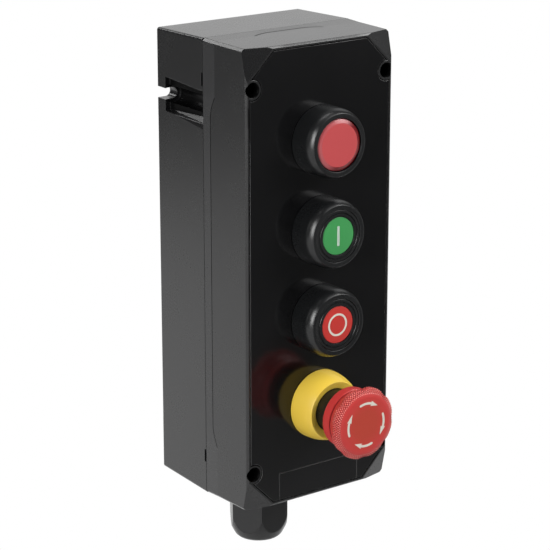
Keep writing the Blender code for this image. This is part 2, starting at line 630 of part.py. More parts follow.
def build_front_cover():
    rings = []
    bevel_depth = BODY_DEPTH - COVER_FRONT_BEVEL
    for depth, inset in (
        (COVER_RIM_DEPTH, 0.0), (bevel_depth, COVER_DRAFT), (BODY_DEPTH, COVER_DRAFT + COVER_FRONT_BEVEL),
    ):
        outline = rounded_rectangle(HALF_WIDTH - inset, HALF_HEIGHT - inset, COVER_EDGE_CHAMFER, 1)
        rings.append([(x, -depth, z) for x, z in outline])
    bm = skin(rings)
    slope = FACET_LEG / FACET_DROP
    for sx in (-1, 1):
        for sz in (-1, 1):
            normal = Vector((sx, -slope, sz)).normalized()
            point = Vector((sx * (FRONT_SUM - FRONT_HALF_HEIGHT), -BODY_DEPTH, sz * FRONT_HALF_HEIGHT))
            geometry = bm.verts[:] + bm.edges[:] + bm.faces[:]
            bmesh.ops.bisect_plane(
                bm, geom=geometry, plane_co=point, plane_no=normal, clear_outer=True, dist=1e-7,
            )
            bmesh.ops.holes_fill(bm, edges=[edge for edge in bm.edges if edge.is_boundary])
    cover = place("front_cover", bm, BLACK)

    cavity_front = BODY_DEPTH - COVER_FRONT_WALL
    boolean(cover, tool(front_prism(cavity_outline(), PARTING_DEPTH - OVERRUN, cavity_front), "cover_cavity"))
    plate_floor = BODY_DEPTH - PLATE_THICKNESS - GAP
    boolean(cover, tool(front_prism(plate_outline(GAP), plate_floor, BODY_DEPTH + OVERRUN), "plate_recess"))
    for number, z in enumerate(OPERATOR_Z, 1):
        hole = turned(disc(PANEL_HOLE_RADIUS, PARTING_DEPTH, BODY_DEPTH + OVERRUN), HOLE_SEGMENTS)
        boolean(cover, tool(hole, f"panel_hole_{number}", (0, 0, z)))
    for sx in (-1, 1):
        for sz in (-1, 1):
            tag = f"{'r' if sx > 0 else 'l'}{'t' if sz > 0 else 'b'}"
            well = [(0.0, PARTING_DEPTH - OVERRUN), (SCREW_HOLE_RADIUS, PARTING_DEPTH - OVERRUN),
                    (SCREW_HOLE_RADIUS, WELL_FLOOR_DEPTH), (WELL_RADIUS, WELL_FLOOR_DEPTH),
                    (WELL_RADIUS, BODY_DEPTH + OVERRUN), (0.0, BODY_DEPTH + OVERRUN)]
            boolean(cover, tool(turned(well, COARSE), f"well_{tag}", (sx * SCREW_X, 0, sz * SCREW_Z)))
    cut_skirt_lines(cover)
    return cover


def skirt_line(half_length):
    """Depth of the skirt line along its length: straight, then swept forward towards both ends."""
    base = PARTING_DEPTH + SKIRT_REACH
    points = []
    steps = 4
    for i in range(steps + 1):
        share = 1 - i / steps
        along = half_length - SKIRT_SWEEP_LENGTH * (1 - share)
        points.append((along, base + SKIRT_SWEEP * share * share))
    return points + [(-along, depth) for along, depth in reversed(points)]


def cut_skirt_lines(cover):
    """Shallow line round the cover just in front of the parting plane, one cut for each side."""
    for tag, half_length, offset, side, swap in (
        ("right", HALF_HEIGHT - SKIRT_SIDE_MARGIN, HALF_WIDTH, 1, False),
        ("left", HALF_HEIGHT - SKIRT_SIDE_MARGIN, HALF_WIDTH, -1, False),
        ("top", HALF_WIDTH - SKIRT_END_MARGIN, HALF_HEIGHT, 1, True),
        ("bottom", HALF_WIDTH - SKIRT_END_MARGIN, HALF_HEIGHT, -1, True),
    ):
        draft = COVER_DRAFT * SKIRT_REACH / (BODY_DEPTH - PARTING_DEPTH)
        inner = side * (offset - draft - SKIRT_GROOVE_DEPTH)
        outer = side * (offset + OVERRUN)
        line = skirt_line(half_length)
        rings = []
        for along, depth in line:
            near, far = depth - SKIRT_GROOVE_WIDTH / 2, depth + SKIRT_GROOVE_WIDTH / 2
            corners = [(inner, near), (outer, near), (outer, far), (inner, far)]
            if swap:
                rings.append([(along, -d, a) for a, d in corners])
            else:
                rings.append([(a, -d, along) for a, d in corners])
        boolean(cover, tool(skin(rings), f"skirt_{tag}"))


def build_enclosure_trim():
    outer = cavity_outline(GASKET_LAND + GAP + GASKET_WIDTH)
    inner = cavity_outline(GASKET_LAND + GAP)
    place("cover_gasket", front_ring(outer, inner, RIM_DEPTH - GASKET_HEIGHT, RIM_DEPTH), RUBBER)

    plate = place(
        "front_plate", front_prism(plate_outline(), BODY_DEPTH - PLATE_THICKNESS, BODY_DEPTH), GLOSS_BLACK
    )
    for number, z in enumerate(OPERATOR_Z, 1):
        hole = turned(disc(PANEL_HOLE_RADIUS, PARTING_DEPTH, BODY_DEPTH + OVERRUN), HOLE_SEGMENTS)
        boolean(plate, tool(hole, f"plate_hole_{number}", (0, 0, z)))
    plate_foot = -PLATE_HALF_HEIGHT
    label_top = plate_foot + INSCRIPTION_HEIGHT
    half = PLATE_SUM - PLATE_HALF_HEIGHT - INSCRIPTION_MARGIN
    floor = BODY_DEPTH - INSCRIPTION_THICKNESS - GAP
    recess = box(
        (-half - GAP, -BODY_DEPTH - OVERRUN, plate_foot - OVERRUN), (half + GAP, -floor, label_top + GAP),
    )
    boolean(plate, tool(recess, "inscription_recess"))
    label = box((-half, -BODY_DEPTH, plate_foot), (half, -(BODY_DEPTH - INSCRIPTION_THICKNESS), label_top))
    place("inscription_plate", label, GLOSS_BLACK)


def slotted_screw(name, head_radius, head_height, shank_radius, shank_length, location, finish):
    """Cheese-head screw: the origin is under the head, the shank points to the wall."""
    profile = [(0.0, -shank_length), (shank_radius - SCREW_CHAMFER, -shank_length),
               (shank_radius, -shank_length + SCREW_CHAMFER), (shank_radius, 0.0),
               (head_radius, 0.0), (head_radius, head_height - SCREW_CHAMFER),
               (head_radius - SCREW_CHAMFER, head_height), (0.0, head_height)]
    screw = place(name, turned(profile, SCREW_SEGMENTS), finish, location)
    slot_reach = head_radius + OVERRUN
    slot = box(
        (-slot_reach, -head_height - OVERRUN, -SCREW_SLOT_WIDTH / 2),
        (slot_reach, -(head_height - SCREW_SLOT_DEPTH), SCREW_SLOT_WIDTH / 2),
    )
    boolean(screw, tool(slot, f"slot_{name}", location))
    return screw


def build_cover_screws():
    seat = WELL_FLOOR_DEPTH + GAP
    corners = ((-1, 1), (1, 1), (1, -1), (-1, -1))
    for number, (sx, sz) in enumerate(corners, 1):
        slotted_screw(
            f"cover_screw_{number}", COVER_SCREW_HEAD_RADIUS, COVER_SCREW_HEAD_HEIGHT, COVER_SCREW_RADIUS,
            seat - COVER_SCREW_TIP_DEPTH, (sx * SCREW_X, -seat, sz * SCREW_Z), STEEL,
        )


def barrel_profile(bore_radius, bore_floor, outer_base):
    """Lower half of every collar: seal recess, panel barrel and bore, from its base to its floor."""
    recess = SEAL_THICKNESS + 2 * GAP
    return [
        (bore_radius, bore_floor), (bore_radius, -BARREL_LENGTH), (BARREL_RADIUS, -BARREL_LENGTH),
        (BARREL_RADIUS, GAP), (SEAL_BORE_RADIUS - GAP, GAP), (SEAL_BORE_RADIUS - GAP, recess),
        (SEAL_RADIUS + GAP, recess), (SEAL_RADIUS + GAP, GAP), (outer_base, GAP),
    ]


def collar_profile(bore_radius):
    profile = barrel_profile(bore_radius, COLLAR_BORE_FLOOR, COLLAR_RADIUS)
    steps = 4
    for i in range(steps + 1):
        angle = math.radians(90) * i / steps
        profile.append((
            COLLAR_RIM_RADIUS + (COLLAR_RADIUS - COLLAR_RIM_RADIUS) * math.cos(angle),
            COLLAR_HEIGHT - COLLAR_SHOULDER_HEIGHT * (1 - math.sin(angle)),
        ))
    return profile + [(COLLAR_BORE_RADIUS, COLLAR_HEIGHT), (COLLAR_BORE_RADIUS, COLLAR_BORE_FLOOR)]


def operator_axis(z):
    """Where an operator's axis meets the front."""
    return (0, -BODY_DEPTH, z)


def build_panel_fixings(prefix, z):
    """Seal under the collar and lock nut behind the panel."""
    seal = sleeve(SEAL_BORE_RADIUS, SEAL_RADIUS, GAP, GAP + SEAL_THICKNESS)
    place(f"{prefix}_seal", turned(seal, COARSE), RUBBER, operator_axis(z))

    outer = []
    for notch in range(LOCK_NUT_NOTCHES):
        slope = (1 - LOCK_NUT_LAND_SHARE - LOCK_NUT_ROOT_SHARE) / 2
        root = LOCK_NUT_LAND_SHARE + slope
        for share, drop in (
            (0.0, 0.0), (LOCK_NUT_LAND_SHARE, 0.0), (root, LOCK_NUT_NOTCH), (1 - slope, LOCK_NUT_NOTCH),
        ):
            angle = math.tau * (notch + share) / LOCK_NUT_NOTCHES
            radius = LOCK_NUT_RADIUS - drop
            outer.append((radius * math.cos(angle), radius * math.sin(angle)))
    inner = circle(PANEL_HOLE_RADIUS, len(outer))
    nut = front_ring(outer, inner, -NUT_FACE - LOCK_NUT_THICKNESS, -NUT_FACE)
    place(f"{prefix}_lock_nut", nut, ZINC, operator_axis(z))


def build_block(name, z, bore_radius, bore_depth):
    """Contact or lamp element: stepped towards its terminals, bored for the stem when it has one."""
    half = BLOCK_WIDTH / 2
    near = -BLOCK_FACE - BLOCK_DEPTH
    middle = near + BLOCK_TAIL
    neck = -BLOCK_FACE - BLOCK_NECK
    outline = [
        (-half + BLOCK_STEP, near), (half - BLOCK_STEP, near), (half - BLOCK_STEP, middle), (half, middle),
        (half, neck), (half - BLOCK_STEP / 2, -BLOCK_FACE), (-half + BLOCK_STEP / 2, -BLOCK_FACE),
        (-half, neck), (-half, middle), (-half + BLOCK_STEP, middle),
    ]
    rings = [[(x, -height, side * BLOCK_LENGTH / 2) for x, height in outline] for side in (-1, 1)]
    block = place(name, skin(rings), GREY, operator_axis(z))
    if bore_radius:
        bore = turned(disc(bore_radius, -BLOCK_FACE - bore_depth, 0.0), COARSE)
        boolean(block, tool(bore, f"bore_{name}", operator_axis(z)))
    return block


def build_lamp():
    centre = operator_axis(LAMP_Z)
    collar = turned(collar_profile(BARREL_RADIUS - LAMP_BARREL_WALL), FINE)
    place("lamp_collar", collar, OPERATOR_BLACK, centre)
    build_panel_fixings("lamp", LAMP_Z)
    lens_back = COLLAR_BORE_FLOOR + GAP
    roof = COLLAR_HEIGHT - LENS_WALL
    lens = [
        (0.0, COLLAR_HEIGHT), (CAP_RADIUS - LENS_BEVEL_WIDTH, COLLAR_HEIGHT),
        (CAP_RADIUS, COLLAR_HEIGHT - LENS_BEVEL_HEIGHT),
        (CAP_RADIUS, lens_back), (CAP_RADIUS - LENS_WALL, lens_back), (CAP_RADIUS - LENS_WALL, roof),
        (0.0, roof),
    ]
    place("lamp_lens", turned(lens, FINE), LENS_RED, centre)
    foot = -BLOCK_FACE + GAP
    led_tip = roof - LED_DROP
    dome_base = led_tip - LED_RADIUS
    led = [(0.0, foot), (LED_RADIUS, foot), (LED_RADIUS, dome_base)]
    for step in (1, 2):
        angle = math.radians(30) * step
        led.append((LED_RADIUS * math.cos(angle), dome_base + LED_RADIUS * math.sin(angle)))
    led.append((0.0, led_tip))
    place("lamp_led", turned(led, COARSE), WARM_WHITE, centre)
    build_block("lamp_block", LAMP_Z, 0.0, 0.0)


def build_push_button(prefix, z, insert_finish):
    centre = operator_axis(z)
    stem_hole = STEM_RADIUS + RUNNING_GAP
    place(f"{prefix}_collar", turned(collar_profile(stem_hole), FINE), OPERATOR_BLACK, centre)
    build_panel_fixings(prefix, z)
    build_block(f"{prefix}_contact_block", z, stem_hole, STEM_BEHIND_BARREL + BUTTON_TRAVEL + RUNNING_GAP)

    slide = bpy.data.objects.new(f"{prefix}_slide", None)
    bpy.context.scene.collection.objects.link(slide)
    slide.location = centre

    insert_front = CAP_FRONT - GAP
    pocket_floor = insert_front - INSERT_THICKNESS - GAP
    spring_top = CAP_BACK + SPRING_POCKET_DEPTH
    stem_top = spring_top + STEM_SOCKET
    socket = STEM_RADIUS + GAP
    groove = CAP_RADIUS - CAP_GROOVE_INSET
    groove_half = CAP_GROOVE_WIDTH / 2
    pocket_radius = BUTTON_SPRING_RADIUS + BUTTON_SPRING_WIRE + SPRING_POCKET_CLEARANCE
    cap = [
        (0.0, pocket_floor), (INSERT_RADIUS + GAP, pocket_floor), (INSERT_RADIUS + GAP, CAP_FRONT),
        (groove - groove_half, CAP_FRONT), (groove, CAP_FRONT - CAP_GROOVE_DEPTH),
        (groove + groove_half, CAP_FRONT), (CAP_RADIUS, CAP_FRONT), (CAP_RADIUS, CAP_BACK),
        (pocket_radius, CAP_BACK), (pocket_radius, spring_top), (socket, spring_top), (socket, stem_top),
        (0.0, stem_top),
    ]
    place(f"{prefix}_cap", turned(cap, FINE), OPERATOR_BLACK, parent=slide)
    insert = disc(INSERT_RADIUS, insert_front - INSERT_THICKNESS, insert_front)
    place(f"{prefix}_insert", turned(insert, FINE), insert_finish, parent=slide)
    stem = disc(STEM_RADIUS, -BARREL_LENGTH - STEM_BEHIND_BARREL, stem_top - GAP)
    place(f"{prefix}_stem", turned(stem, COARSE), WARM_WHITE, parent=slide)
    coil = spring(
        BUTTON_SPRING_RADIUS, BUTTON_SPRING_WIRE, BUTTON_SPRING_TURNS,
        COLLAR_BORE_FLOOR + GAP, spring_top - GAP,
    )
    place(f"{prefix}_spring", coil, STEEL, centre)


def estop_collar_profile():
    """Yellow collar: a full shoulder that tapers to the rim, then a lip sloping inwards."""
    bore = ESTOP_STEM_RADIUS + RUNNING_GAP
    profile = barrel_profile(bore, ESTOP_COLLAR_FLOOR, ESTOP_COLLAR_RADIUS)
    start = (ESTOP_COLLAR_RADIUS, ESTOP_COLLAR_STRAIGHT)
    pull = (ESTOP_COLLAR_RADIUS - ESTOP_COLLAR_BULGE_INSET, ESTOP_COLLAR_BULGE_HEIGHT)
    end = (ESTOP_RIM_RADIUS, ESTOP_RIM_HEIGHT)
    steps = 5
    for i in range(steps + 1):
        t = i / steps
        profile.append(tuple(
            (1 - t) ** 2 * a + 2 * t * (1 - t) * b + t * t * c for a, b, c in zip(start, pull, end)
        ))
    lip_height = ESTOP_RIM_HEIGHT - ESTOP_LIP_DROP
    return profile + [(ESTOP_LIP_RADIUS, lip_height), (ESTOP_LIP_RADIUS, ESTOP_COLLAR_FLOOR)]


def build_estop():
    centre = operator_axis(ESTOP_Z)
    stem_hole = ESTOP_STEM_RADIUS + RUNNING_GAP
    place("estop_collar", turned(estop_collar_profile(), FINE), YELLOW, centre)
    build_panel_fixings("estop", ESTOP_Z)
    build_block("estop_contact_block", ESTOP_Z, stem_hole, STEM_BEHIND_BARREL + ESTOP_TRAVEL + RUNNING_GAP)

    sleeve_foot = ESTOP_COLLAR_FLOOR + GAP
    spring_seat = sleeve_foot + SLEEVE_FLOOR
    housing = [
        (stem_hole, sleeve_foot), (SLEEVE_RADIUS, sleeve_foot), (SLEEVE_RADIUS, SLEEVE_TOP),
        (SLEEVE_BORE_RADIUS, SLEEVE_TOP), (SLEEVE_BORE_RADIUS, spring_seat), (stem_hole, spring_seat),
    ]
    place("estop_sleeve", turned(housing, FINE), OPERATOR_BLACK, centre)

    slide = bpy.data.objects.new("estop_slide", None)
    bpy.context.scene.collection.objects.link(slide)
    slide.location = centre
    twist = bpy.data.objects.new("estop_twist_axis", None)
    bpy.context.scene.collection.objects.link(twist)
    twist.parent = slide

    stem = disc(ESTOP_STEM_RADIUS, -BARREL_LENGTH - STEM_BEHIND_BARREL, ESTOP_STEM_TOP)
    place("estop_stem", turned(stem, COARSE), ZINC, parent=slide)
    skirt = sleeve(ESTOP_LIP_RADIUS, SKIRT_RADIUS, SKIRT_BOTTOM, SKIRT_TOP)
    place("estop_skirt", turned(skirt, FINE), HEAD_RED, parent=twist)
    place("estop_head", scalloped_head(), HEAD_RED, parent=twist)
    coil = spring(
        ESTOP_SPRING_RADIUS, ESTOP_SPRING_WIRE, ESTOP_SPRING_TURNS,
        spring_seat + GAP, HEAD_HUB_BOTTOM - GAP,
    )
    place("estop_spring", coil, STEEL, centre)


def scalloped_head():
    """Mushroom head: flared side, widest ring with eight scallops, bevelled rim and a flat face."""
    socket = ESTOP_STEM_RADIUS + GAP
    rise = HEAD_RIM_HEIGHT - HEAD_FOOT
    profile = [
        (0.0, ESTOP_STEM_TOP + GAP), (socket, ESTOP_STEM_TOP + GAP), (socket, HEAD_HUB_BOTTOM),
        (HEAD_HUB_RADIUS, HEAD_HUB_BOTTOM), (HEAD_HUB_RADIUS, HEAD_FOOT), (HEAD_NECK_RADIUS, HEAD_FOOT),
    ]
    for across, up in HEAD_FLARE:
        profile.append((HEAD_NECK_RADIUS + HEAD_FLARE_WIDTH * across, HEAD_FOOT + rise * up))
    across, up = HEAD_BEVEL
    profile += [
        (HEAD_RADIUS, HEAD_RIM_HEIGHT),
        (HEAD_RADIUS - HEAD_BEVEL_WIDTH * across, HEAD_RIM_HEIGHT + HEAD_BEVEL_HEIGHT * up),
        (HEAD_RADIUS - HEAD_BEVEL_WIDTH, HEAD_HEIGHT), (0.0, HEAD_HEIGHT),
    ]
    bm = turned(profile, HEAD_SCALLOPS * 5)
    for vert in bm.verts:
        radius = math.hypot(vert.co.x, vert.co.z)
        share = (radius - HEAD_NECK_RADIUS) / HEAD_FLARE_WIDTH
        if share < GAP:
            continue
        angle = math.atan2(vert.co.z, vert.co.x)
        dip = HEAD_SCALLOP_DEPTH * share * math.cos(HEAD_SCALLOPS * angle / 2) ** 4
        scale = (radius - dip) / radius
        vert.co.x *= scale
        vert.co.z *= scale
    return bm


def build_inside():
    """Top-hat rail, its terminals and screws, and the earth bar."""
    low = BASE_FLOOR + GAP
    high = low + RAIL_HEIGHT
    web = RAIL_CHANNEL_WIDTH / 2
    edge = RAIL_WIDTH / 2
    thick = RAIL_THICKNESS
    outline = [
        (-web, low), (web, low), (web, high - thick), (edge, high - thick), (edge, high),
        (web - thick, high), (web - thick, low + thick), (-web + thick, low + thick),
        (-web + thick, high), (-edge, high), (-edge, high - thick), (-web, high - thick),
    ]
    rail = place(
        "terminal_rail",
        skin([[(x, -depth, side * RAIL_LENGTH / 2) for x, depth in outline] for side in (-1, 1)]), ZINC,
    )
    bite = SMALL_SCREW_BITE + GAP
    for number, z in enumerate((RAIL_SCREW_Z, -RAIL_SCREW_Z), 1):
        hole = turned(disc(SMALL_SCREW_RADIUS + GAP, 0.0, high), SCREW_SEGMENTS)
        boolean(rail, tool(hole, f"rail_hole_{number}", (0, 0, z)))
        head_seat = low + thick + GAP
        slotted_screw(
            f"rail_screw_{number}", SMALL_SCREW_HEAD_RADIUS, SMALL_SCREW_HEAD_HEIGHT, SMALL_SCREW_RADIUS,
            head_seat - BASE_FLOOR + SMALL_SCREW_BITE, (0, -head_seat, z), STEEL,
        )

    foot = high + GAP
    pitch = TERMINAL_THICKNESS + GAP
    half, top = TERMINAL_WIDTH / 2, TERMINAL_TOP_WIDTH / 2
    ridge = TERMINAL_SHOULDER + TERMINAL_SLOPE
    shape = [
        (-half, foot), (half, foot), (half, foot + TERMINAL_SHOULDER), (top, foot + ridge),
        (top, foot + TERMINAL_HEIGHT), (-top, foot + TERMINAL_HEIGHT),
        (-top, foot + ridge), (-half, foot + TERMINAL_SHOULDER),
    ]
    first = -pitch * (TERMINAL_COUNT - 1) / 2
    for number in range(TERMINAL_COUNT):
        middle = first + pitch * number
        rings = [
            [(x, -depth, middle + side * TERMINAL_THICKNESS / 2) for x, depth in shape] for side in (-1, 1)
        ]
        place(f"terminal_{number + 1}", skin(rings), GREY)

    bar_low = (-EARTH_BAR_LENGTH / 2, -(low + EARTH_BAR_THICKNESS), EARTH_BAR_Z - EARTH_BAR_HEIGHT / 2)
    bar_high = (EARTH_BAR_LENGTH / 2, -low, EARTH_BAR_Z + EARTH_BAR_HEIGHT / 2)
    bar = place("earth_bar", box(bar_low, bar_high), BRASS)
    through = low + EARTH_BAR_THICKNESS + OVERRUN
    hole = turned(disc(SMALL_SCREW_RADIUS + GAP, 0.0, through), SCREW_SEGMENTS)
    boolean(bar, tool(hole, "earth_hole", (0, 0, EARTH_BAR_Z)))
    head_seat = low + EARTH_BAR_THICKNESS + GAP
    slotted_screw(
        "earth_screw", SMALL_SCREW_HEAD_RADIUS, SMALL_SCREW_HEAD_HEIGHT, SMALL_SCREW_RADIUS,
        head_seat - BASE_FLOOR + SMALL_SCREW_BITE, (0, -head_seat, EARTH_BAR_Z), BRASS,
    )


def build_gland():
    axis = (0, -GLAND_DEPTH, 0)
    washer_top = GLAND_SEAT_Z - GAP
    washer_foot = washer_top - GLAND_WASHER_THICKNESS
    washer = sleeve(GLAND_THREAD_RADIUS + GAP, GLAND_WASHER_RADIUS, washer_foot, washer_top)
    place("gland_washer", turned(washer, COARSE, axis="Z"), RUBBER, axis)

    neck_end = FLANGE_BOTTOM_Z - GLAND_NECK_LENGTH
    thread_end = GLAND_SEAT_Z + GLAND_INNER_LENGTH
    middle = FLANGE_TOP_Z - GLAND_FLANGE_HEIGHT / 2
    core = [
        (0.0, thread_end), (GLAND_THREAD_RADIUS, thread_end), (GLAND_THREAD_RADIUS, middle),
        (GLAND_NECK_RADIUS, middle), (GLAND_NECK_RADIUS, neck_end), (0.0, neck_end),
    ]
    body = place("gland_body", turned(core, FINE, axis="Z"), BLACK, axis)
    flange = upright_prism(hexagon(GLAND_ACROSS_FLATS), FLANGE_BOTTOM_Z, FLANGE_TOP_Z)
    boolean(body, tool(flange, "gland_flange", axis), "UNION")
    seal_seat = FLANGE_BOTTOM_Z - GLAND_SEAL_SEAT
    seal_bore = GLAND_SEAL_RADIUS + GAP
    above, below = thread_end + OVERRUN, neck_end - OVERRUN
    bore = [
        (0.0, above), (GLAND_BORE_RADIUS, above), (GLAND_BORE_RADIUS, seal_seat),
        (seal_bore, seal_seat), (seal_bore, below), (0.0, below),
    ]
    boolean(body, tool(turned(bore, FINE, axis="Z"), "gland_bore", axis))

    nut_bottom = -CAVITY_HALF_HEIGHT + GAP
    nut_top = nut_bottom + GLAND_NUT_THICKNESS
    blank = upright_prism(hexagon(GLAND_NUT_ACROSS_FLATS), nut_bottom, nut_top)
    nut = place("gland_lock_nut", blank, BLACK, axis)
    thread_hole = disc(GLAND_THREAD_RADIUS + GAP, nut_bottom - OVERRUN, nut_top + OVERRUN)
    thread = turned(thread_hole, COARSE, axis="Z")
    boolean(nut, tool(thread, "gland_nut_thread", axis))

    seal_top = seal_seat - GAP
    seal_end = seal_top - GLAND_SEAL_LENGTH
    seal = [
        (CABLE_RADIUS, seal_top), (GLAND_SEAL_RADIUS, seal_top),
        (GLAND_SEAL_RADIUS, seal_end + GLAND_SEAL_TAPER), (CABLE_RADIUS + GLAND_SEAL_LIP, seal_end),
        (CABLE_RADIUS, seal_end),
    ]
    place("gland_seal", turned(seal, COARSE, axis="Z"), RUBBER, axis)
    build_cap_nut(axis, neck_end, seal_end)


def build_cap_nut(axis, neck_end, seal_end):
    """Dome nut: a long hexagon inside a turned outline, so its flats end in arcs on the cone."""
    corner = GLAND_ACROSS_FLATS / math.sqrt(3)
    cone_z = CAP_NUT_END_Z + CAP_NUT_CONE_LENGTH
    blank = corner + CAP_NUT_END_ROUND
    outline = [(0.0, CAP_NUT_TOP_Z), (blank, CAP_NUT_TOP_Z), (blank, cone_z + CAP_NUT_END_ROUND)]
    steps = 4
    for i in range(steps + 1):
        share = i / steps
        bow = CAP_NUT_BOW * math.sin(math.pi * share) * (corner - CAP_NUT_END_RADIUS)
        outline.append((
            corner + (CAP_NUT_END_RADIUS - corner) * share + bow,
            cone_z + (CAP_NUT_END_Z + CAP_NUT_END_ROUND - cone_z) * share,
        ))
    outline += [(CAP_NUT_END_RADIUS - CAP_NUT_END_ROUND, CAP_NUT_END_Z), (0.0, CAP_NUT_END_Z)]
    nut = place("gland_cap_nut", turned(outline, FINE, axis="Z"), BLACK, axis)
    hexed = upright_prism(hexagon(GLAND_ACROSS_FLATS), CAP_NUT_END_Z - OVERRUN, CAP_NUT_TOP_Z + OVERRUN)
    boolean(nut, tool(hexed, "cap_nut_hexagon", axis), "INTERSECT")
    throat = min(neck_end, seal_end) - CAP_NUT_THROAT_GAP
    below = CAP_NUT_END_Z - OVERRUN
    above = CAP_NUT_TOP_Z + OVERRUN
    bore = [
        (0.0, above), (GLAND_NECK_RADIUS + GAP, above), (GLAND_NECK_RADIUS + GAP, neck_end - GAP),
        (GLAND_SEAL_RADIUS + GAP, throat), (CAP_NUT_HOLE_RADIUS, throat - CAP_NUT_THROAT_TAPER),
        (CAP_NUT_HOLE_RADIUS, below), (0.0, below),
    ]
    boolean(nut, tool(turned(bore, FINE, axis="Z"), "cap_nut_bore", axis))


def main():
    clear_scene()
    build_rear_housing()
    build_front_cover()
    build_enclosure_trim()
    build_cover_screws()
    build_lamp()
    build_push_button("start", START_Z, GREEN)
    build_push_button("stop", STOP_Z, STOP_RED)
    build_estop()
    build_inside()
    build_gland()


main()
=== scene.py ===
# %% [markdown]
# # An explosion-proof control station
#
# The real station is a black moulded box that hangs on a wall in a plant with flammable gas. It has a
# red lamp, a green start button, a red stop button, a yellow and red emergency stop, and a cable gland
# underneath. The CAD model fixes every size. Here each solid that can be seen gets a finely shaped
# piece over it, each hidden one gets a real finish, and the whole stands in a plain photo studio.
#
# The first cell loads the CAD model as a frame. Nothing in it is moved: the new pieces are drawn in
# the same coordinates and ride on its bodies, so the buttons still push and the red head still turns.

# %% Load the frame
import math

import bmesh
import bpy
from mathutils import Matrix, Vector


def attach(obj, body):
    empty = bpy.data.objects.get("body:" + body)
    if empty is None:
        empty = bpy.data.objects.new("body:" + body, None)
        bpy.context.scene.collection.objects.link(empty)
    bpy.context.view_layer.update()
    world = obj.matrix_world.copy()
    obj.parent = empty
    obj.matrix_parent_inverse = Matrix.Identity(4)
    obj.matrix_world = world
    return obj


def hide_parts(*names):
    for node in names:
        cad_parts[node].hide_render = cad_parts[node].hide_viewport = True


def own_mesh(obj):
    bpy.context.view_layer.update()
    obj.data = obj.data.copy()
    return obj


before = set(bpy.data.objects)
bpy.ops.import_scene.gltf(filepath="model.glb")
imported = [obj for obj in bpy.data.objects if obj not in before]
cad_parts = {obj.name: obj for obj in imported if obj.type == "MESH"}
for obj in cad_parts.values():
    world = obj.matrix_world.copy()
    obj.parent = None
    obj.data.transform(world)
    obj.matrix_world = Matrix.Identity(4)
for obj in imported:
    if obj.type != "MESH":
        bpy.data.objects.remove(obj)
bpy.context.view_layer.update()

# %% [markdown]
# ## Sizes
#
# A maker works in millimetres, and Blender in metres, so every size below is in millimetres and one
# scale turns a finished mesh into metres. Depth is measured from the wall, and the height of a
# knob or collar from the front of the box. Keeping the numbers in one place makes them easy to change.

# %% Sizes of the box
MM = 0.001
HALF_WIDTH, HALF_HEIGHT, DEPTH = 49.5, 129.5, 84.2
PARTING = 45.5                  # where the two shells meet
GAP = 0.3
OVERRUN = 10.0                  # how far a cutter runs past the surface it opens
BASE_DRAFT, COVER_DRAFT = 1.0, 0.7
WALL, BASE_FLOOR, FRONT_WALL = 4.2, 4.0, 4.4
FACET_LEG, FACET_DROP = 18.2, 4.2
FRONT_HALF_WIDTH, FRONT_HALF_HEIGHT = HALF_WIDTH - COVER_DRAFT, HALF_HEIGHT - COVER_DRAFT
FRONT_SUM = FRONT_HALF_WIDTH + FRONT_HALF_HEIGHT - FACET_LEG
PLATE_HALF_WIDTH, PLATE_HALF_HEIGHT = FRONT_HALF_WIDTH - 2.5, FRONT_HALF_HEIGHT - 2.5
PLATE_SUM = FRONT_SUM - math.sqrt(2) * 1.5
PLATE_THICKNESS = 1.2
LABEL_HALF_WIDTH, LABEL_HEIGHT, LABEL_THICKNESS = PLATE_SUM - PLATE_HALF_HEIGHT - 4.0, 15.5, 0.5
SCREW_X, SCREW_Z = HALF_WIDTH - 5.0, HALF_HEIGHT - 22.3
SCREW_HOLE, WELL_RADIUS, WELL_MOUTH, WELL_WALL, WELL_FLOOR = 2.2, 3.7, 4.15, 2.2, DEPTH - 24.2
POCKET_Z, POCKET_HEIGHT, POCKET_REACH, EAR = HALF_HEIGHT - 36.3, 18.4, 4.0, 8.0
POCKET_FLOOR = POCKET_Z - POCKET_HEIGHT / 2
SLOT_X, SLOT_Z, SLOT_WIDTH, CHANNEL_RADIUS = HALF_WIDTH - 6.0, POCKET_Z - 0.55, 6.3, 5.2
PRY_REACH, PRY_HALF_WIDTH, PRY_DEPTH = 2.4, 3.6, 1.6    # slots at the parting for a screwdriver
RIB_HALF_WIDTH, PILOT_Z = 14.0, (56.0, -56.0, -94.0)    # flat rib up the back, holes in the floor
ENTRY_SEAT, ENTRY_HOLE = 16.2, 12.7                     # radii where the gland goes in
print("box", 2 * HALF_WIDTH, "x", 2 * HALF_HEIGHT, "x", DEPTH, "mm, wells at", SCREW_X, SCREW_Z)

# %% Sizes of the operators and the gland
LAMP_Z, START_Z, STOP_Z, ESTOP_Z = 75.0, 25.0, -25.0, -75.0
OPERATOR_Z = (LAMP_Z, START_Z, STOP_Z, ESTOP_Z)
BARREL, BARREL_LENGTH, PANEL_HOLE = 11.0, 18.0, 11.3
COLLAR, COLLAR_RIM, COLLAR_BORE, COLLAR_TOP, COLLAR_FLOOR = 19.2, 17.06, 14.65, 16.8, 6.0
CAP, CAP_TOP, CAP_BACK, GROOVE = 14.35, 16.5, 10.8, 12.6
INSERT, INSERT_TOP, INSERT_THICKNESS = 10.4, 16.2, 1.7
ESTOP_COLLAR, ESTOP_RIM, ESTOP_LIP = 19.6, 16.45, 12.43
SLEEVE, SLEEVE_BORE, SLEEVE_TOP = 12.03, 8.6, 23.6
SKIRT, SKIRT_FOOT, SKIRT_TOP = 16.9, 25.2, 31.0
HEAD, HEAD_NECK, HEAD_FACE = 20.3, 17.0, 15.5
HEAD_FOOT, HEAD_RING, HEAD_TOP = 31.3, 39.7, 42.0
TEETH, TOOTH_PITCH, TOOTH_DEPTH = 84, 1.3, 0.85
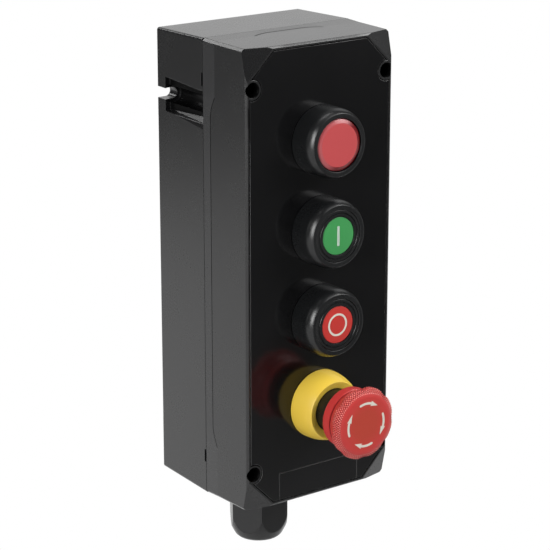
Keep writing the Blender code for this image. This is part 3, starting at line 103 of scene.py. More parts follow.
GLAND_DEPTH, GLAND_SEAT = 26.7, -128.6
ACROSS_FLATS, FLANGE_TOP, FLANGE_FOOT = 32.0, -130.7, -137.7
NUT_TOP, NUT_END, CONE = -138.0, -173.0, 14.0
print("operators", OPERATOR_Z, "and gland down to", NUT_END)

# %% [markdown]
# ## Helpers for meshes
#
# Most of these parts are turned or extruded, so three builders cover them: a profile turned round an
# axis, a skin drawn through rings of points, and a prism. No moulded or turned part has a truly
# sharp corner. A corner with a small radius catches a thin line of light, and that line is most of
# what makes black plastic readable. A profile point may therefore carry a third number, its radius.

# %% Outlines
ROUND_CORNERS = ((1, 1), (-1, 1), (-1, -1), (1, -1))       # signs of X and Z, one corner after the other


def eased(points, steps=4):
    """Outline with rounded corners: a point's third value is the radius of its corner."""
    outline = []
    for i, point in enumerate(points):
        corner = Vector(point[:2])
        if len(point) < 3:
            outline.append(tuple(corner))
            continue
        back = Vector(points[i - 1][:2]) - corner
        ahead = Vector(points[(i + 1) % len(points)][:2]) - corner
        run = min(point[2] / math.tan(back.angle(ahead) / 2), back.length / 2, ahead.length / 2)
        start, end = corner + back.normalized() * run, corner + ahead.normalized() * run
        for k in range(steps + 1):
            t = k / steps
            outline.append(tuple((1 - t) ** 2 * start + 2 * t * (1 - t) * corner + t * t * end))
    return outline


def rounded_rectangle(half_width, half_height, radius, steps):
    """Outline with four quarter circles for corners, each drawn in the given steps."""
    points = []
    for quarter, (sx, sz) in enumerate(ROUND_CORNERS):
        for i in range(steps + 1):
            angle = math.radians(90) * (quarter + i / steps)
            points.append((sx * (half_width - radius) + radius * math.cos(angle),
                           sz * (half_height - radius) + radius * math.sin(angle)))
    return points


def disc(radius, low, high):
    """Profile of a plain disc between two heights."""
    return [(0.0, low), (radius, low), (radius, high), (0.0, high)]


sample = eased([(0, 0), (10, 0, 2), (10, 10), (0, 10)])
print("a 10 mm square with one 2 mm corner has", len(sample), "points")

# %% Solids from outlines
def skin(rings, joined=False):
    """Closed surface through rings of points; its ends are capped unless the last meets the first."""
    bm = bmesh.new()
    loops = [[bm.verts.new(point) for point in ring] for ring in rings]
    count = len(loops[0])
    for lower, upper in list(zip(loops, loops[1:])) + ([(loops[-1], loops[0])] if joined else []):
        for i in range(count):
            j = (i + 1) % count
            bm.faces.new((lower[i], lower[j], upper[j], upper[i]))
    if not joined:
        bm.faces.new(loops[0])
        bm.faces.new(loops[-1])
    return bm


def prism(outline, near, far):
    """Outline in X and Z, drawn out from one depth to another."""
    return skin([[(x, -depth, z) for x, z in outline] for depth in (near, far)])


def box(low, high):
    """Block between two opposite corners."""
    corners = ((low[0], low[2]), (high[0], low[2]), (high[0], high[2]), (low[0], high[2]))
    return skin([[(x, y, z) for x, z in corners] for y in (low[1], high[1])])


def turned(profile, segments, axis="Y"):
    """Profile of (radius, height) turned about Y, with heights towards the viewer, or about Z."""
    bm = bmesh.new()
    rings = []
    for radius, height in profile:
        ring = []
        for i in range(segments if radius > 1e-6 else 1):
            angle = math.tau * i / segments
            across, along = radius * math.cos(angle), radius * math.sin(angle)
            ring.append(bm.verts.new((across, -height, along) if axis == "Y" else (across, along, height)))
        rings.append(ring)
    pairs = list(zip(rings, rings[1:]))
    if len(rings[0]) > 1 and len(rings[-1]) > 1:
        pairs.append((rings[-1], rings[0]))
    for lower, upper in pairs:
        for i in range(segments):
            j = (i + 1) % segments
            below, above = [[ring[k % len(ring)] for k in (i, j)] for ring in (lower, upper)]
            corners = list(dict.fromkeys(below + above[::-1]))
            if len(corners) > 2:
                bm.faces.new(corners)
    return bm


print("a turned disc has", len(turned(disc(10, 0, 5), 48).faces), "faces")

# %% [markdown]
# A Boolean cuts a pocket or a hole the way a core does in a mould, and the exact solver keeps the
# cut surfaces closed. The result is written back as a plain mesh, so that no piece depends on
# another one later. A Bevel then breaks the edges that the cuts left. All round a wide flat the
# shading is made crisp, because smooth shading would bend the light on a flat next to its bevel.

# %% From a mesh to a finished object
def make(name, bm, material=None, centre=(0.0, 0.0, 0.0), sharp=35):
    """Named object from a mesh drawn in millimetres; the object itself stays at the origin."""
    bmesh.ops.remove_doubles(bm, verts=bm.verts, dist=1e-4)
    bmesh.ops.recalc_face_normals(bm, faces=bm.faces)
    bmesh.ops.translate(bm, verts=bm.verts, vec=centre)
    bmesh.ops.scale(bm, verts=bm.verts, vec=(MM, MM, MM))
    mesh = bpy.data.meshes.new(name)
    bm.to_mesh(mesh)
    bm.free()
    mesh.shade_smooth()
    mesh.set_sharp_from_angle(angle=math.radians(sharp))
    if material:
        mesh.materials.append(material)
    item = bpy.data.objects.new(name, mesh)
    bpy.context.scene.collection.objects.link(item)
    return item


def settle(item):
    """Write the result of the modifiers into the object's own mesh."""
    seen = item.evaluated_get(bpy.context.evaluated_depsgraph_get())
    before = item.data
    item.data = bpy.data.meshes.new_from_object(seen)
    item.modifiers.clear()
    bpy.data.meshes.remove(before)
    item.data.name = item.name
    return item


def cut(item, cutters, operation="DIFFERENCE"):
    """Boolean with each cutter in turn; the cutters are thrown away afterwards."""
    for cutter in cutters:
        step = item.modifiers.new(cutter.name, "BOOLEAN")
        step.operation, step.solver, step.object = operation, "EXACT", cutter
    settle(item)
    for cutter in cutters:
        mesh = cutter.data
        bpy.data.objects.remove(cutter)
        bpy.data.meshes.remove(mesh)
    return item


def soften(item, width, segments=2, sharp=10, edge=None):
    """Break every edge sharper than the limit, and keep the flats between them flat."""
    bevel = item.modifiers.new("broken edges", "BEVEL")
    if edge:
        item.data.materials.append(edge)
        bevel.material = len(item.data.materials) - 1
    bevel.width, bevel.segments, bevel.limit_method = width * MM, segments, "ANGLE"
    bevel.angle_limit = math.radians(sharp)
    bevel.use_clamp_overlap = False
    settle(item)
    return crisp_flats(item, sharp)


def crisp_flats(item, sharp=10, level=0.4, wide=60e-6):
    """Smooth shading, but crisp at sharp edges and all round every flat wider than 60 mm2."""
    item.data.shade_smooth()
    item.data.set_sharp_from_angle(angle=math.radians(sharp))
    bm = bmesh.new()
    bm.from_mesh(item.data)
    for edge in bm.edges:
        if len(edge.link_faces) == 2 and edge.calc_face_angle() > math.radians(level):
            if max(face.calc_area() for face in edge.link_faces) > wide:
                edge.smooth = False
    bm.to_mesh(item.data)
    bm.free()
    return item


def ride(item, body, slot, *nodes):
    """The piece moves with a body and takes the place of its CAD nodes; the name of its finish is not used.
    """
    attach(item, body)
    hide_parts(*nodes)
    print(f"{item.name}: {len(item.data.polygons)} faces on {body}, for {', '.join(nodes) or 'itself'}")


print("helpers ready")

# %% [markdown]
# ## Helpers for nodes
#
# Materials and Geometry Nodes are both graphs. Written out link by link they are hard to read, so a
# small class wraps a socket and turns ordinary arithmetic into Math nodes: `1 - mask` becomes a
# subtraction in the graph. Any other node comes from one method that takes its type, its
# settings and the values or links of its sockets.

# %% Arithmetic on sockets
class Wire:
    """The output of a node. Arithmetic on it adds Math nodes to the same tree."""

    def __init__(self, graph, socket):
        self.graph, self.socket = graph, socket

    def maths(self, operation, *values):
        return self.graph.add("ShaderNodeMath", {"operation": operation}, dict(enumerate(values)))

    def __add__(self, other):
        return self.maths("ADD", self, other)

    def __sub__(self, other):
        return self.maths("SUBTRACT", self, other)

    def __rsub__(self, other):
        return self.maths("SUBTRACT", other, self)

    def __mul__(self, other):
        return self.maths("MULTIPLY", self, other)

    def __truediv__(self, other):
        return self.maths("DIVIDE", self, other)

    def __pow__(self, other):
        return self.maths("POWER", self, other)

    __radd__ = __add__
    __rmul__ = __mul__

    def of(self, operation, *values):
        """A function of this wire, such as its cosine or its minimum with another value."""
        return self.maths(operation, self, *values)

    def rise(self, low, high):
        """0 below low, 1 above high and a smooth step between."""
        return self.graph.add(
            "ShaderNodeMapRange", {"interpolation_type": "SMOOTHSTEP"},
            {"Value": self, "From Min": low, "From Max": high},
        )

    def fall(self, low, high):
        """1 below low, 0 above high and a smooth step between."""
        return 1 - self.rise(low, high)

    def near(self, value, inner, outer):
        """1 within the inner distance of a value and 0 beyond the outer one."""
        return (self - value).of("ABSOLUTE").fall(inner, outer)


class Graph:
    """A node tree in which every node is added the same way."""

    def __init__(self, tree):
        self.tree = tree

    def add(self, kind, settings=None, sockets=None, output=0):
        node = self.tree.nodes.new(kind)
        for name, value in (settings or {}).items():
            setattr(node, name, value)
        for key, value in (sockets or {}).items():
            self.feed(node.inputs[key], value)
        return Wire(self, node.outputs[output])

    def feed(self, socket, value):
        if isinstance(value, Wire):
            self.tree.links.new(value.socket, socket)
        else:
            socket.default_value = value

    def blend(self, factor, first, second):
        """First colour where the factor is 0 and second colour where it is 1."""
        return self.add("ShaderNodeMix", {"data_type": "RGBA"}, {0: factor, 6: first, 7: second}, 2)

    def noise(self, where, size, detail=2.0):
        """Soft random pattern whose features are about size millimetres across."""
        sockets = {"Vector": where, "Scale": 1 / (size * MM), "Detail": detail}
        return self.add("ShaderNodeTexNoise", None, sockets)

    def axes(self, vector):
        """The three parts of a vector, each as a wire."""
        split = self.add("ShaderNodeSeparateXYZ", None, {0: vector})
        return [Wire(self, part) for part in split.socket.node.outputs]


print("Wire overloads +, -, *, / and **")

# %% [markdown]
# ## Finishes
#
# Moulded plastic is never one flat colour. It has a fine spark-eroded grain that scatters the gloss,
# and a slow change of gloss where the melt flowed. One function makes that recipe, and each
# finish gives it its own colour, gloss, grain and drift. Patterns read Object coordinates, so
# they stay on the piece when it moves. Colours are measured as screen values and turned linear.

# %% The moulded finish
def tone(red, green, blue):
    """Linear colour of a screen value, by the sRGB curve."""
    shares = [value / 255 for value in (red, green, blue)]
    linear = [share / 12.92 if share <= 0.04045 else ((share + 0.055) / 1.055) ** 2.4 for share in shares]
    return (*linear, 1.0)


FLOW_SIZE = 24.0                # how far apart the slow changes of gloss lie, in millimetres


def finish(name, colour, roughness, grain=0.35, depth=0.02, mottle=0.10, drift=0.05, **constants):
    """Grained, slightly uneven surface: its material, graph, shader and wire of places."""
    material = bpy.data.materials.new(name)
    material.use_nodes = True
    graph = Graph(material.node_tree)
    shader = material.node_tree.nodes["Principled BSDF"]
    where = graph.add("ShaderNodeTexCoord", output="Object")
    flow = graph.noise(where, FLOW_SIZE, 3.0)
    fine = graph.noise(where, grain)
    base = tone(*colour)
    dark = (*[c * (1 - mottle) for c in base[:3]], 1.0)
    light = (*[min(1.0, c * (1 + mottle)) for c in base[:3]], 1.0)
    graph.feed(shader.inputs["Base Color"], graph.blend(flow * 0.6 + fine * 0.4, dark, light))
    graph.feed(shader.inputs["Roughness"], (flow - 0.5) * (2 * drift) + (fine - 0.5) * drift + roughness)
    bump = graph.add("ShaderNodeBump", None, {"Strength": 1.0, "Distance": depth * MM, "Height": fine})
    graph.feed(shader.inputs["Normal"], bump)
    for socket, value in constants.items():
        shader.inputs[socket.replace("_", " ")].default_value = value
    print(f"{name}: {len(graph.tree.nodes)} nodes")
    return material, graph, shader, where


MOULDED, moulded_graph, moulded_shader, moulded_where = finish(
    "moulded black", (18, 18, 19), 0.27, grain=1.4, depth=0.01, mottle=0.3, drift=0.02, IOR=1.6,
)
GLAND_BLACK, *_ = finish("gland black", (24, 24, 25), 0.26, grain=0.6, depth=0.02, mottle=0.12)
PLATE, *_ = finish("gloss plate", (17, 17, 18), 0.13, grain=3.0, depth=0.01, mottle=0.10, drift=0.03)
OPERATOR, *_ = finish("operator black", (20, 21, 22), 0.28, grain=0.5, depth=0.012, mottle=0.10)
RUBBER, *_ = finish("seal rubber", (38, 38, 38), 0.78, grain=0.4, depth=0.04, mottle=0.2)
YELLOW, *_ = finish("collar yellow", (238, 202, 74), 0.36, grain=0.5, depth=0.012, mottle=0.04)
ELEMENT, *_ = finish("element grey", (158, 160, 160), 0.5, grain=0.5, depth=0.02, mottle=0.06)
WHITE, *_ = finish("stem white", (226, 224, 214), 0.45, grain=0.5, depth=0.02, mottle=0.03)
SIGN, *_ = finish("sign white", (186, 206, 190), 0.5, grain=0.4, depth=0.01, mottle=0.04)
MARK, *_ = finish("mark white", (222, 218, 206), 0.5, grain=0.4, depth=0.01, mottle=0.04)
GREEN, *_ = finish("button green", (62, 152, 82), 0.4, grain=0.4, depth=0.015, mottle=0.05)
RED, *_ = finish("button red", (196, 52, 46), 0.4, grain=0.4, depth=0.015, mottle=0.05)
LED, *_ = finish("led white", (250, 236, 226), 0.25, grain=0.6, depth=0.02, mottle=0.02)

# %% Painted highlight and shade on the front plate's broken edge
# Painted highlight: the pale edge stands in for the light caught by the plate's broken edge.
EDGE_HIGHLIGHT_PALE, EDGE_SHADE_DARK = (92, 92, 92), (22, 22, 22)
PLATE_EDGE_HIGHLIGHT, edge_graph, edge_shader, edge_where = finish(
    "plate edge highlight", EDGE_HIGHLIGHT_PALE, 0.45, grain=0.6, depth=0.01, mottle=0.15,
)
edge_x, _, edge_z = edge_graph.axes(edge_where)
# Painted shade: the edge darkens towards its upper left corner.
shaded_corner = (edge_z - edge_x).rise(120 * MM, 130 * MM)     # towards the upper left corner
edge_painted_light = edge_graph.blend(shaded_corner, tone(*EDGE_HIGHLIGHT_PALE), tone(*EDGE_SHADE_DARK))
edge_graph.feed(edge_shader.inputs["Base Color"], edge_painted_light)
print("the plate's edge is pale and darkens towards its upper left corner")

# %% [markdown]
# The housing's black carries painted shade and a painted sheen that change with the place. The screw
# wells, the mounting pockets, the gap round the plate and the line on the cover's top and bottom get
# painted shade: there the gloss fades into a dead black that stands in for the shade in them. Behind
# the cover's line a paler band along the parting is a painted sheen. Each place is a mask from 0 to 1,
# worked out from where a point lies on the housing.

# %% Places of painted shade and sheen on the housing
def fed(graph, socket):
    """The wire that feeds a socket now."""
    return Wire(graph, socket.links[0].from_socket)


LINE_HALF_Z, LINE_HALF_X = HALF_HEIGHT - 30.5, HALF_WIDTH - 26.5    # where the cover's line ends
LINE_DEPTH, LINE_SWEEP, SWEEP_LENGTH = 6.4, 4.2, 13.0
FLOOR_RISE, CEILING_DROP = 1.7, 2.0     # how far a pocket narrows towards the parting
CEILING = POCKET_FLOOR + POCKET_HEIGHT
graph, shader = moulded_graph, moulded_shader
x, y, z = [part * (1 / MM) for part in graph.axes(moulded_where)]
side_x, side_z, depth = x.of("ABSOLUTE"), z.of("ABSOLUTE"), y * -1.0


def line_place(along, half):
    """Depth of the cover's line: level in the middle of a side and further forward at its ends."""
    share = ((along - half + SWEEP_LENGTH) / SWEEP_LENGTH).of("MAXIMUM", 0.0).of("MINIMUM", 1.0)
    return share ** 2.0 * LINE_SWEEP + (PARTING + LINE_DEPTH)


# screw wells
from_well = ((side_x - SCREW_X) ** 2.0 + (side_z - SCREW_Z) ** 2.0) ** 0.5
in_well = from_well.fall(WELL_MOUTH + 0.05, WELL_MOUTH + 0.15) * depth.rise(WELL_FLOOR - 1, WELL_FLOOR)

# mounting pockets, which narrow towards the parting, and the channel in them, where the painted shade is
# lighter
forward = (depth - EAR) * (1 / (PARTING - EAR))
above_floor = (side_z - POCKET_FLOOR - forward * FLOOR_RISE).rise(-0.1, 0.1)
below_ceiling = (CEILING - side_z - forward * CEILING_DROP).rise(-0.1, 0.1)
in_pocket = (x * z).of("LESS_THAN", 0.0) * above_floor * below_ceiling
in_pocket = in_pocket * side_x.fall(46.5, 48.6) * depth.rise(EAR - 0.5, EAR + 1.5)
in_channel = side_x.fall(45.2, 45.4) * depth.rise(18.0, 34.0)

# gap round the front plate
framed = side_x.fall(PLATE_HALF_WIDTH + 0.6, PLATE_HALF_WIDTH + 0.7)
framed = framed * side_z.fall(PLATE_HALF_HEIGHT + 0.6, PLATE_HALF_HEIGHT + 0.7)
framed = framed * (side_x + side_z).fall(PLATE_SUM + 0.9, PLATE_SUM + 1.0)
in_gap = framed * depth.rise(DEPTH - 2.0, DEPTH - 1.9) * depth.fall(DEPTH - 0.16, DEPTH - 0.1)

# painted shade beside the line on the top and bottom of the cover, and the painted sheen behind it on the
# sides
on_end = side_z.rise(HALF_HEIGHT - 1.2, HALF_HEIGHT - 1.0) * side_x.fall(LINE_HALF_X - 1, LINE_HALF_X)
beside_line = on_end * (depth - line_place(side_x, LINE_HALF_X)).near(0.2, 0.3, 0.9)
strip = (line_place(side_z, LINE_HALF_Z) - depth).rise(-0.05, 0.05) * side_x.rise(48.0, 48.2)
strip = strip * depth.rise(PARTING - 0.05, PARTING + 0.05)
print("places for shade, with", len(graph.tree.nodes), "nodes")

# %% Painted shade, and the painted sheen behind the line
SHEEN_SHARE, LINE_SHADE, POCKET_SHADE, CHANNEL_LIGHT, DEEPEST = 0.8, 0.6, 0.8, 0.4, 0.96
# Painted sheen: the band behind the cover's line is blended towards a paler black.
paler = graph.blend(strip * SHEEN_SHARE, fed(graph, shader.inputs["Base Color"]), tone(40, 40, 41))
graph.feed(shader.inputs["Base Color"], paler)
# Painted shade: wells, pockets, the plate's gap and the line fade into a dark diffuse black through this mix.
pocket_shade = in_pocket * (POCKET_SHADE - in_channel * CHANNEL_LIGHT)
shade = (in_well + in_gap + beside_line * LINE_SHADE + pocket_shade).of("MINIMUM", DEEPEST)
painted_shade_black = graph.add("ShaderNodeBsdfDiffuse", None, {"Color": tone(6, 6, 6)})
surface = graph.add("ShaderNodeMixShader", None, {0: shade, 1: Wire(graph, shader.outputs[0]), 2: painted_shade_black})
graph.feed(graph.tree.nodes["Material Output"].inputs["Surface"], surface)
print("moulded black has", len(graph.tree.nodes), "nodes")

# %% [markdown]
# The metal parts are plated or drawn, and their skin is made of fine crystals, each with a gloss of
# its own. That changes the gloss far more than the colour, so a Voronoi pattern, whose cells stand
# for the crystals, goes to the roughness.

# %% Metal finishes
CRYSTAL_DRIFT = 0.18            # how much the gloss differs from one crystal to the next


def metal(name, colour, roughness, bloom):
    """Metal with crystals of the given size in millimetres."""
    material, graph, shader, where = finish(
        name, colour, roughness, grain=0.25, depth=0.006, mottle=0.05, drift=0.06, Metallic=1.0,
    )
    crystals = graph.add("ShaderNodeTexVoronoi", None, {"Vector": where, "Scale": 1 / (bloom * MM)}, "Color")
    spread = graph.axes(crystals)[0]
    graph.feed(shader.inputs["Roughness"], spread * CRYSTAL_DRIFT + (roughness - CRYSTAL_DRIFT / 2))
    return material


STEEL = metal("bright steel", (196, 196, 193), 0.32, 0.6)
ZINC = metal("zinc plate", (188, 190, 192), 0.42, 1.6)
BRASS = metal("brass", (216, 178, 104), 0.32, 0.9)

# %% [markdown]
# Two reds need a pattern of their own, and part of it is painted light. The lamp's lens is frosted on
# its face, where the diffuser behind makes it paler, and clear at its bevel, which is pale with painted
# light on one side and deep red with painted shade on the side that looks into the collar's bore. The
# red head is a little browner towards its centre. Painted shade darkens the groove between its two
# tiers, and the knurl has painted highlights on its peaks and painted shade in its valleys, drawn by the
# same waves that shape its teeth. Each pattern follows the distance from the operator's axis.

# %% Lens finish
def from_axis(graph, where, height):
    """Distance from an operator's axis, in millimetres."""
    x, _, z = graph.axes(where)
    above = z - height * MM
    return (x * x + above * above) ** 0.5 * (1 / MM)


LENS_FACE = 11.9                # radius of the flat face inside the bevel
LENS, lens_graph, lens_shader, lens_where = finish(
    "lamp lens", (190, 40, 44), 0.16, grain=1.2, depth=0.008, mottle=0.03, drift=0.02, Coat_Weight=0.1,
)
lens_radius = from_axis(lens_graph, lens_where, LAMP_Z)
at_bevel = lens_radius.rise(LENS_FACE - 0.2, LENS_FACE)
ribs = (lens_radius * 12.0).of("SINE") * 0.02
lens_x, _, lens_z = [part * (1 / MM) for part in lens_graph.axes(lens_where)]
# Painted light and shade on the clear bevel: pale on the upper left, deep red as painted shade towards the
# lower right, where it looks into the bore.
bore_shade = (lens_x - (lens_z - LAMP_Z) * 0.5).rise(-3.0, 5.0)
bevel_light_and_shade = lens_graph.blend(bore_shade, tone(186, 84, 88), tone(112, 4, 12))
lens_red = lens_graph.blend(at_bevel + ribs, tone(203, 85, 87), bevel_light_and_shade)
lens_graph.feed(lens_shader.inputs["Base Color"], lens_red)
lens_gloss = at_bevel * 0.1 + fed(lens_graph, lens_shader.inputs["Roughness"])
lens_graph.feed(lens_shader.inputs["Roughness"], lens_gloss)
print("lens with", len(lens_graph.tree.nodes), "nodes")

# %% Head finish
HEAD_RED, head_graph, head_shader, head_where = finish(
    "head red", (200, 58, 52), 0.42, grain=0.45, depth=0.02, mottle=0.04, drift=0.05,
)
head_radius = from_axis(head_graph, head_where, ESTOP_Z)
uneven = head_graph.noise(head_where, 6.0, 3.0) * 2.0 + head_radius
head_red = head_graph.blend(uneven.rise(7.0, 18.0), tone(184, 62, 46), tone(200, 58, 56))
head_x, head_y, head_z = head_graph.axes(head_where)
head_height = head_y * (-1 / MM) - DEPTH
# Painted shade in the groove between the two tiers.
groove = head_height.near(SKIRT_TOP + 0.1, 0.15, 0.5)
head_red = head_graph.blend(groove, head_red, tone(112, 24, 22))

turn = (head_z - ESTOP_Z * MM).of("ARCTAN2", head_x) * TEETH
climb = (head_height - head_radius + HEAD) * (math.pi / TOOTH_PITCH)
tooth = turn.of("COSINE") * climb.of("COSINE")
knurled = head_height.rise(36.4, 37.4) * head_height.fall(41.4, 41.8)
# Painted highlights on the teeth's peaks and painted shade in their valleys.
for wave, share, colour in ((tooth, 0.9, (238, 150, 140)), (tooth * -1.0, 0.85, (130, 22, 22))):
    head_red = head_graph.blend(wave.rise(0.1, 0.8) * knurled * share, head_red, tone(*colour))
head_graph.feed(head_shader.inputs["Base Color"], head_red)
print("head with", len(head_graph.tree.nodes), "nodes")

# %% [markdown]
# ## The enclosure
#
# The box is two moulded shells, a base and a cover, which meet 45.5 mm from the wall. Each is a
# drafted prism with a hollow inside. The hollow steps in round the screw columns and the mounting
# pockets, and both shells share that outline, so it is worked out once.

# %% The hollow and the front plate's outline
CORNERS = [(sx, sz) for sx in (-1, 1) for sz in (-1, 1)]
COLUMN_STEP_X, COLUMN_STEP_Z, POCKET_STEP_X, POCKET_STEP_Z = 5.3, 7.5, 4.8, 8.0


def cavity(grow=0.0):
    """Inside outline of both shells, stepped round the screw columns and the mounting pockets."""
    column_x, column_z = SCREW_X - SCREW_HOLE - COLUMN_STEP_X, SCREW_Z - COLUMN_STEP_Z
    pocket_x, pocket_z = SLOT_X - CHANNEL_RADIUS - POCKET_STEP_X, POCKET_FLOOR - POCKET_STEP_Z
    width, height = HALF_WIDTH - WALL + grow, HALF_HEIGHT - WALL + grow
    points = []
    for sx, sz in ROUND_CORNERS:
        has_pocket = sx * sz < 0
        step_x = (pocket_x if has_pocket else column_x) + grow
        step_z = (pocket_z if has_pocket else column_z) + grow
        corner = [(sx * width, sz * step_z), (sx * step_x, sz * step_z), (sx * step_x, sz * height)]
        points += corner[::-1] if has_pocket else corner
    return points


def plate_outline(grow=0.0, steps=20):
    """Front plate: corners cut along the facets and notched round the screw wells."""
    width, height = PLATE_HALF_WIDTH + grow, PLATE_HALF_HEIGHT + grow
    reach = PLATE_SUM + math.sqrt(2) * grow
    notch = WELL_RADIUS + WELL_WALL - grow
    start = -math.acos((width - SCREW_X) / notch)
    end = math.radians(45) + math.acos((reach - SCREW_X - SCREW_Z) / math.sqrt(2) / notch) - math.tau
    quarter = []
    for i in range(steps + 1):
        angle = start + (end - start) * i / steps
        quarter.append((SCREW_X + notch * math.cos(angle), SCREW_Z + notch * math.sin(angle)))
    quarter.append((reach - height, height))
    points = []
    for sx, sz in ROUND_CORNERS:
        corner = [(sx * x, sz * z) for x, z in quarter]
        points += corner[::-1] if sx * sz < 0 else corner
    return points


print("cavity outline", len(cavity()), "points, plate outline", len(plate_outline()), "points")

# %% [markdown]
# The base carries the mounting pockets. Each is an open slot through a thick ear at the back, a
# channel that lets the head of the wall screw in from the front, and a recess in the side that
# a finger or a driver can reach. The lower right pocket is the upper left one turned half round.
# The floor and the ceiling of the recess slope, so a cutter with another section at each end makes
# each of them. Its long faces would be twisted, and triangles keep them flat.

# %% Sections of a mounting pocket
CLEAR = PARTING + OVERRUN           # depth at which a cutter is well past the parting
POCKET_DEEP, POCKET_SKIN, POCKET_FAR = HALF_WIDTH - POCKET_REACH, HALF_WIDTH - 1.3, HALF_WIDTH + OVERRUN
FLOOR_TOP, CEILING_LOW = POCKET_FLOOR + FLOOR_RISE, CEILING - CEILING_DROP


def floor_section(share):
    """Cut under the recess, whose floor falls away outwards; share runs from the ear to the parting."""
    foot = POCKET_FLOOR + FLOOR_RISE * share
    edge, drop = POCKET_FLOOR - 0.6 - 0.8 * share, POCKET_FLOOR - 0.7 - 4.0 * share
    out, top = HALF_WIDTH - 0.5 + 0.8 * share, FLOOR_TOP + 1
    return [(POCKET_DEEP, top), (POCKET_DEEP, foot), (POCKET_SKIN, edge), (out, drop),
            (POCKET_FAR, drop), (POCKET_FAR, top)]


def ceiling_section(share):
    """Cut over the recess, whose ceiling rises outwards."""
    roof = CEILING - CEILING_DROP * share
    tilt = (0.1 + CEILING_DROP * share + 0.6 * share) / POCKET_REACH
    outside = roof + tilt * (POCKET_FAR - POCKET_DEEP)
    return [(POCKET_DEEP, CEILING_LOW - 1), (POCKET_DEEP, roof), (POCKET_FAR, outside),
            (POCKET_FAR, CEILING_LOW - 1)]


print("pocket between", round(POCKET_FLOOR, 1), "and", round(CEILING, 1), "mm up")

# %% Cutters for a mounting pocket
HOLE_ROUND, PANEL_ROUND, ENTRY_ROUND = 40, 48, 64       # segments round small and large holes


def pocket_cutters(side):
    """Recess, its sloping floor and ceiling, head channel and ear slot."""
    up, share = -side, OVERRUN / (PARTING - EAR) + 1
    xs = sorted((side * POCKET_DEEP, side * POCKET_FAR))
    zs = sorted((up * FLOOR_TOP, up * CEILING_LOW))
    made = [make("recess", box((xs[0], -CLEAR, zs[0]), (xs[1], -EAR, zs[1])))]
    for section in (floor_section, ceiling_section):
        shape = skin([[(side * x, -depth, up * z) for x, z in section(k)]
                      for depth, k in ((EAR, 0.0), (CLEAR, share))])
        bmesh.ops.triangulate(shape, faces=shape.faces)
        made.append(make("slope", shape))
    channel = turned(disc(CHANNEL_RADIUS, EAR - 0.6, CLEAR), HOLE_ROUND)
    made.append(make("channel", channel, centre=(side * SLOT_X, 0, up * SLOT_Z)))
    half, middle, outer = SLOT_WIDTH / 2, up * SLOT_Z, side * POCKET_FAR
    turns = [math.pi * i / 20 for i in range(21)]
    bend = [(side * (SLOT_X - half * math.sin(a)), middle + half * math.cos(a)) for a in turns]
    outline = [(outer, middle + half)] + bend + [(outer, middle - half)]
    made.append(make("ear slot", prism(outline, -OVERRUN, EAR + GAP)))
    return made


print("pocket cutters ready")

# %% The rear housing's body
FOOT = 0.5                          # small bevel at the wall, and depth of the relief behind
BROKEN = 0.15                       # width of a broken edge


def cavity_ring(outer, inner, low, high):
    """Closed ring that follows the cavity's outline, between two depths."""
    places = ((outer, low), (outer, high), (inner, high), (inner, low))
    return skin([[(x, -depth, z) for x, z in cavity(grow)] for grow, depth in places], joined=True)


rings = []
for depth, inset in ((0.0, BASE_DRAFT + FOOT), (FOOT, BASE_DRAFT), (PARTING - GAP / 2, 0.0)):
    outline = rounded_rectangle(HALF_WIDTH - inset, HALF_HEIGHT - inset, 1.6, 10)
    rings.append([(x, -depth, z) for x, z in outline])
base_shell = make("base_shell", skin(rings), MOULDED)
cuts = [make("hollow", prism(cavity(), BASE_FLOOR, CLEAR))] + pocket_cutters(-1) + pocket_cutters(1)
for sx, sz in CORNERS:
    hole = turned(disc(SCREW_HOLE, 22.0, CLEAR), HOLE_ROUND)
    cuts.append(make("screw hole", hole, centre=(sx * SCREW_X, 0, sz * SCREW_Z)))
    xs = sorted((sx * (HALF_WIDTH - PRY_REACH), sx * POCKET_FAR))
    zs = (sz * SCREW_Z - PRY_HALF_WIDTH, sz * SCREW_Z + PRY_HALF_WIDTH)
    cuts.append(make("pry slot", box((xs[0], -CLEAR, zs[0]), (xs[1], PRY_DEPTH - PARTING, zs[1]))))
cuts.append(make("gasket groove", cavity_ring(2.8, 1.0, 43.55, CLEAR)))
print("base with", len(cuts), "cuts so far")

# %% The rear housing's back and its holes
ear_end, pad_end = POCKET_FLOOR - 4.2, HALF_HEIGHT - 31.5       # ends of the relief on each side
for side, low, high in ((-1, -pad_end, ear_end), (1, -ear_end, pad_end)):
    xs = sorted((side * RIB_HALF_WIDTH, side * POCKET_FAR))
    cuts.append(make("rear relief", box((xs[0], -FOOT, low), (xs[1], OVERRUN, high))))
outside, inside = -HALF_HEIGHT - OVERRUN, WALL - HALF_HEIGHT + OVERRUN
entry = [(0.0, outside), (ENTRY_SEAT, outside), (ENTRY_SEAT, GLAND_SEAT), (ENTRY_HOLE, GLAND_SEAT),
         (ENTRY_HOLE, inside), (0.0, inside)]
cuts.append(make("gland entry", turned(entry, ENTRY_ROUND, "Z"), centre=(0, -GLAND_DEPTH, 0)))
for z in PILOT_Z:
    cuts.append(make("pilot", turned(disc(2.1, 1.2, OVERRUN), HOLE_ROUND), centre=(0, 0, z)))
cut(base_shell, cuts)
soften(base_shell, BROKEN)
ride(base_shell, "root", "moulded_black", "rear_housing")

# %% [markdown]
# The cover has four large facets cut across its front corners, a bright chamfer along each depth
# edge, and a shallow recess for the gloss plate. Slicing planes make the facets, because they are
# flat cuts at a compound angle. A fine line runs round the cover just in front of the parting
# plane and sweeps forward at its ends. It is cut after the bevel, so that it stays crisp.

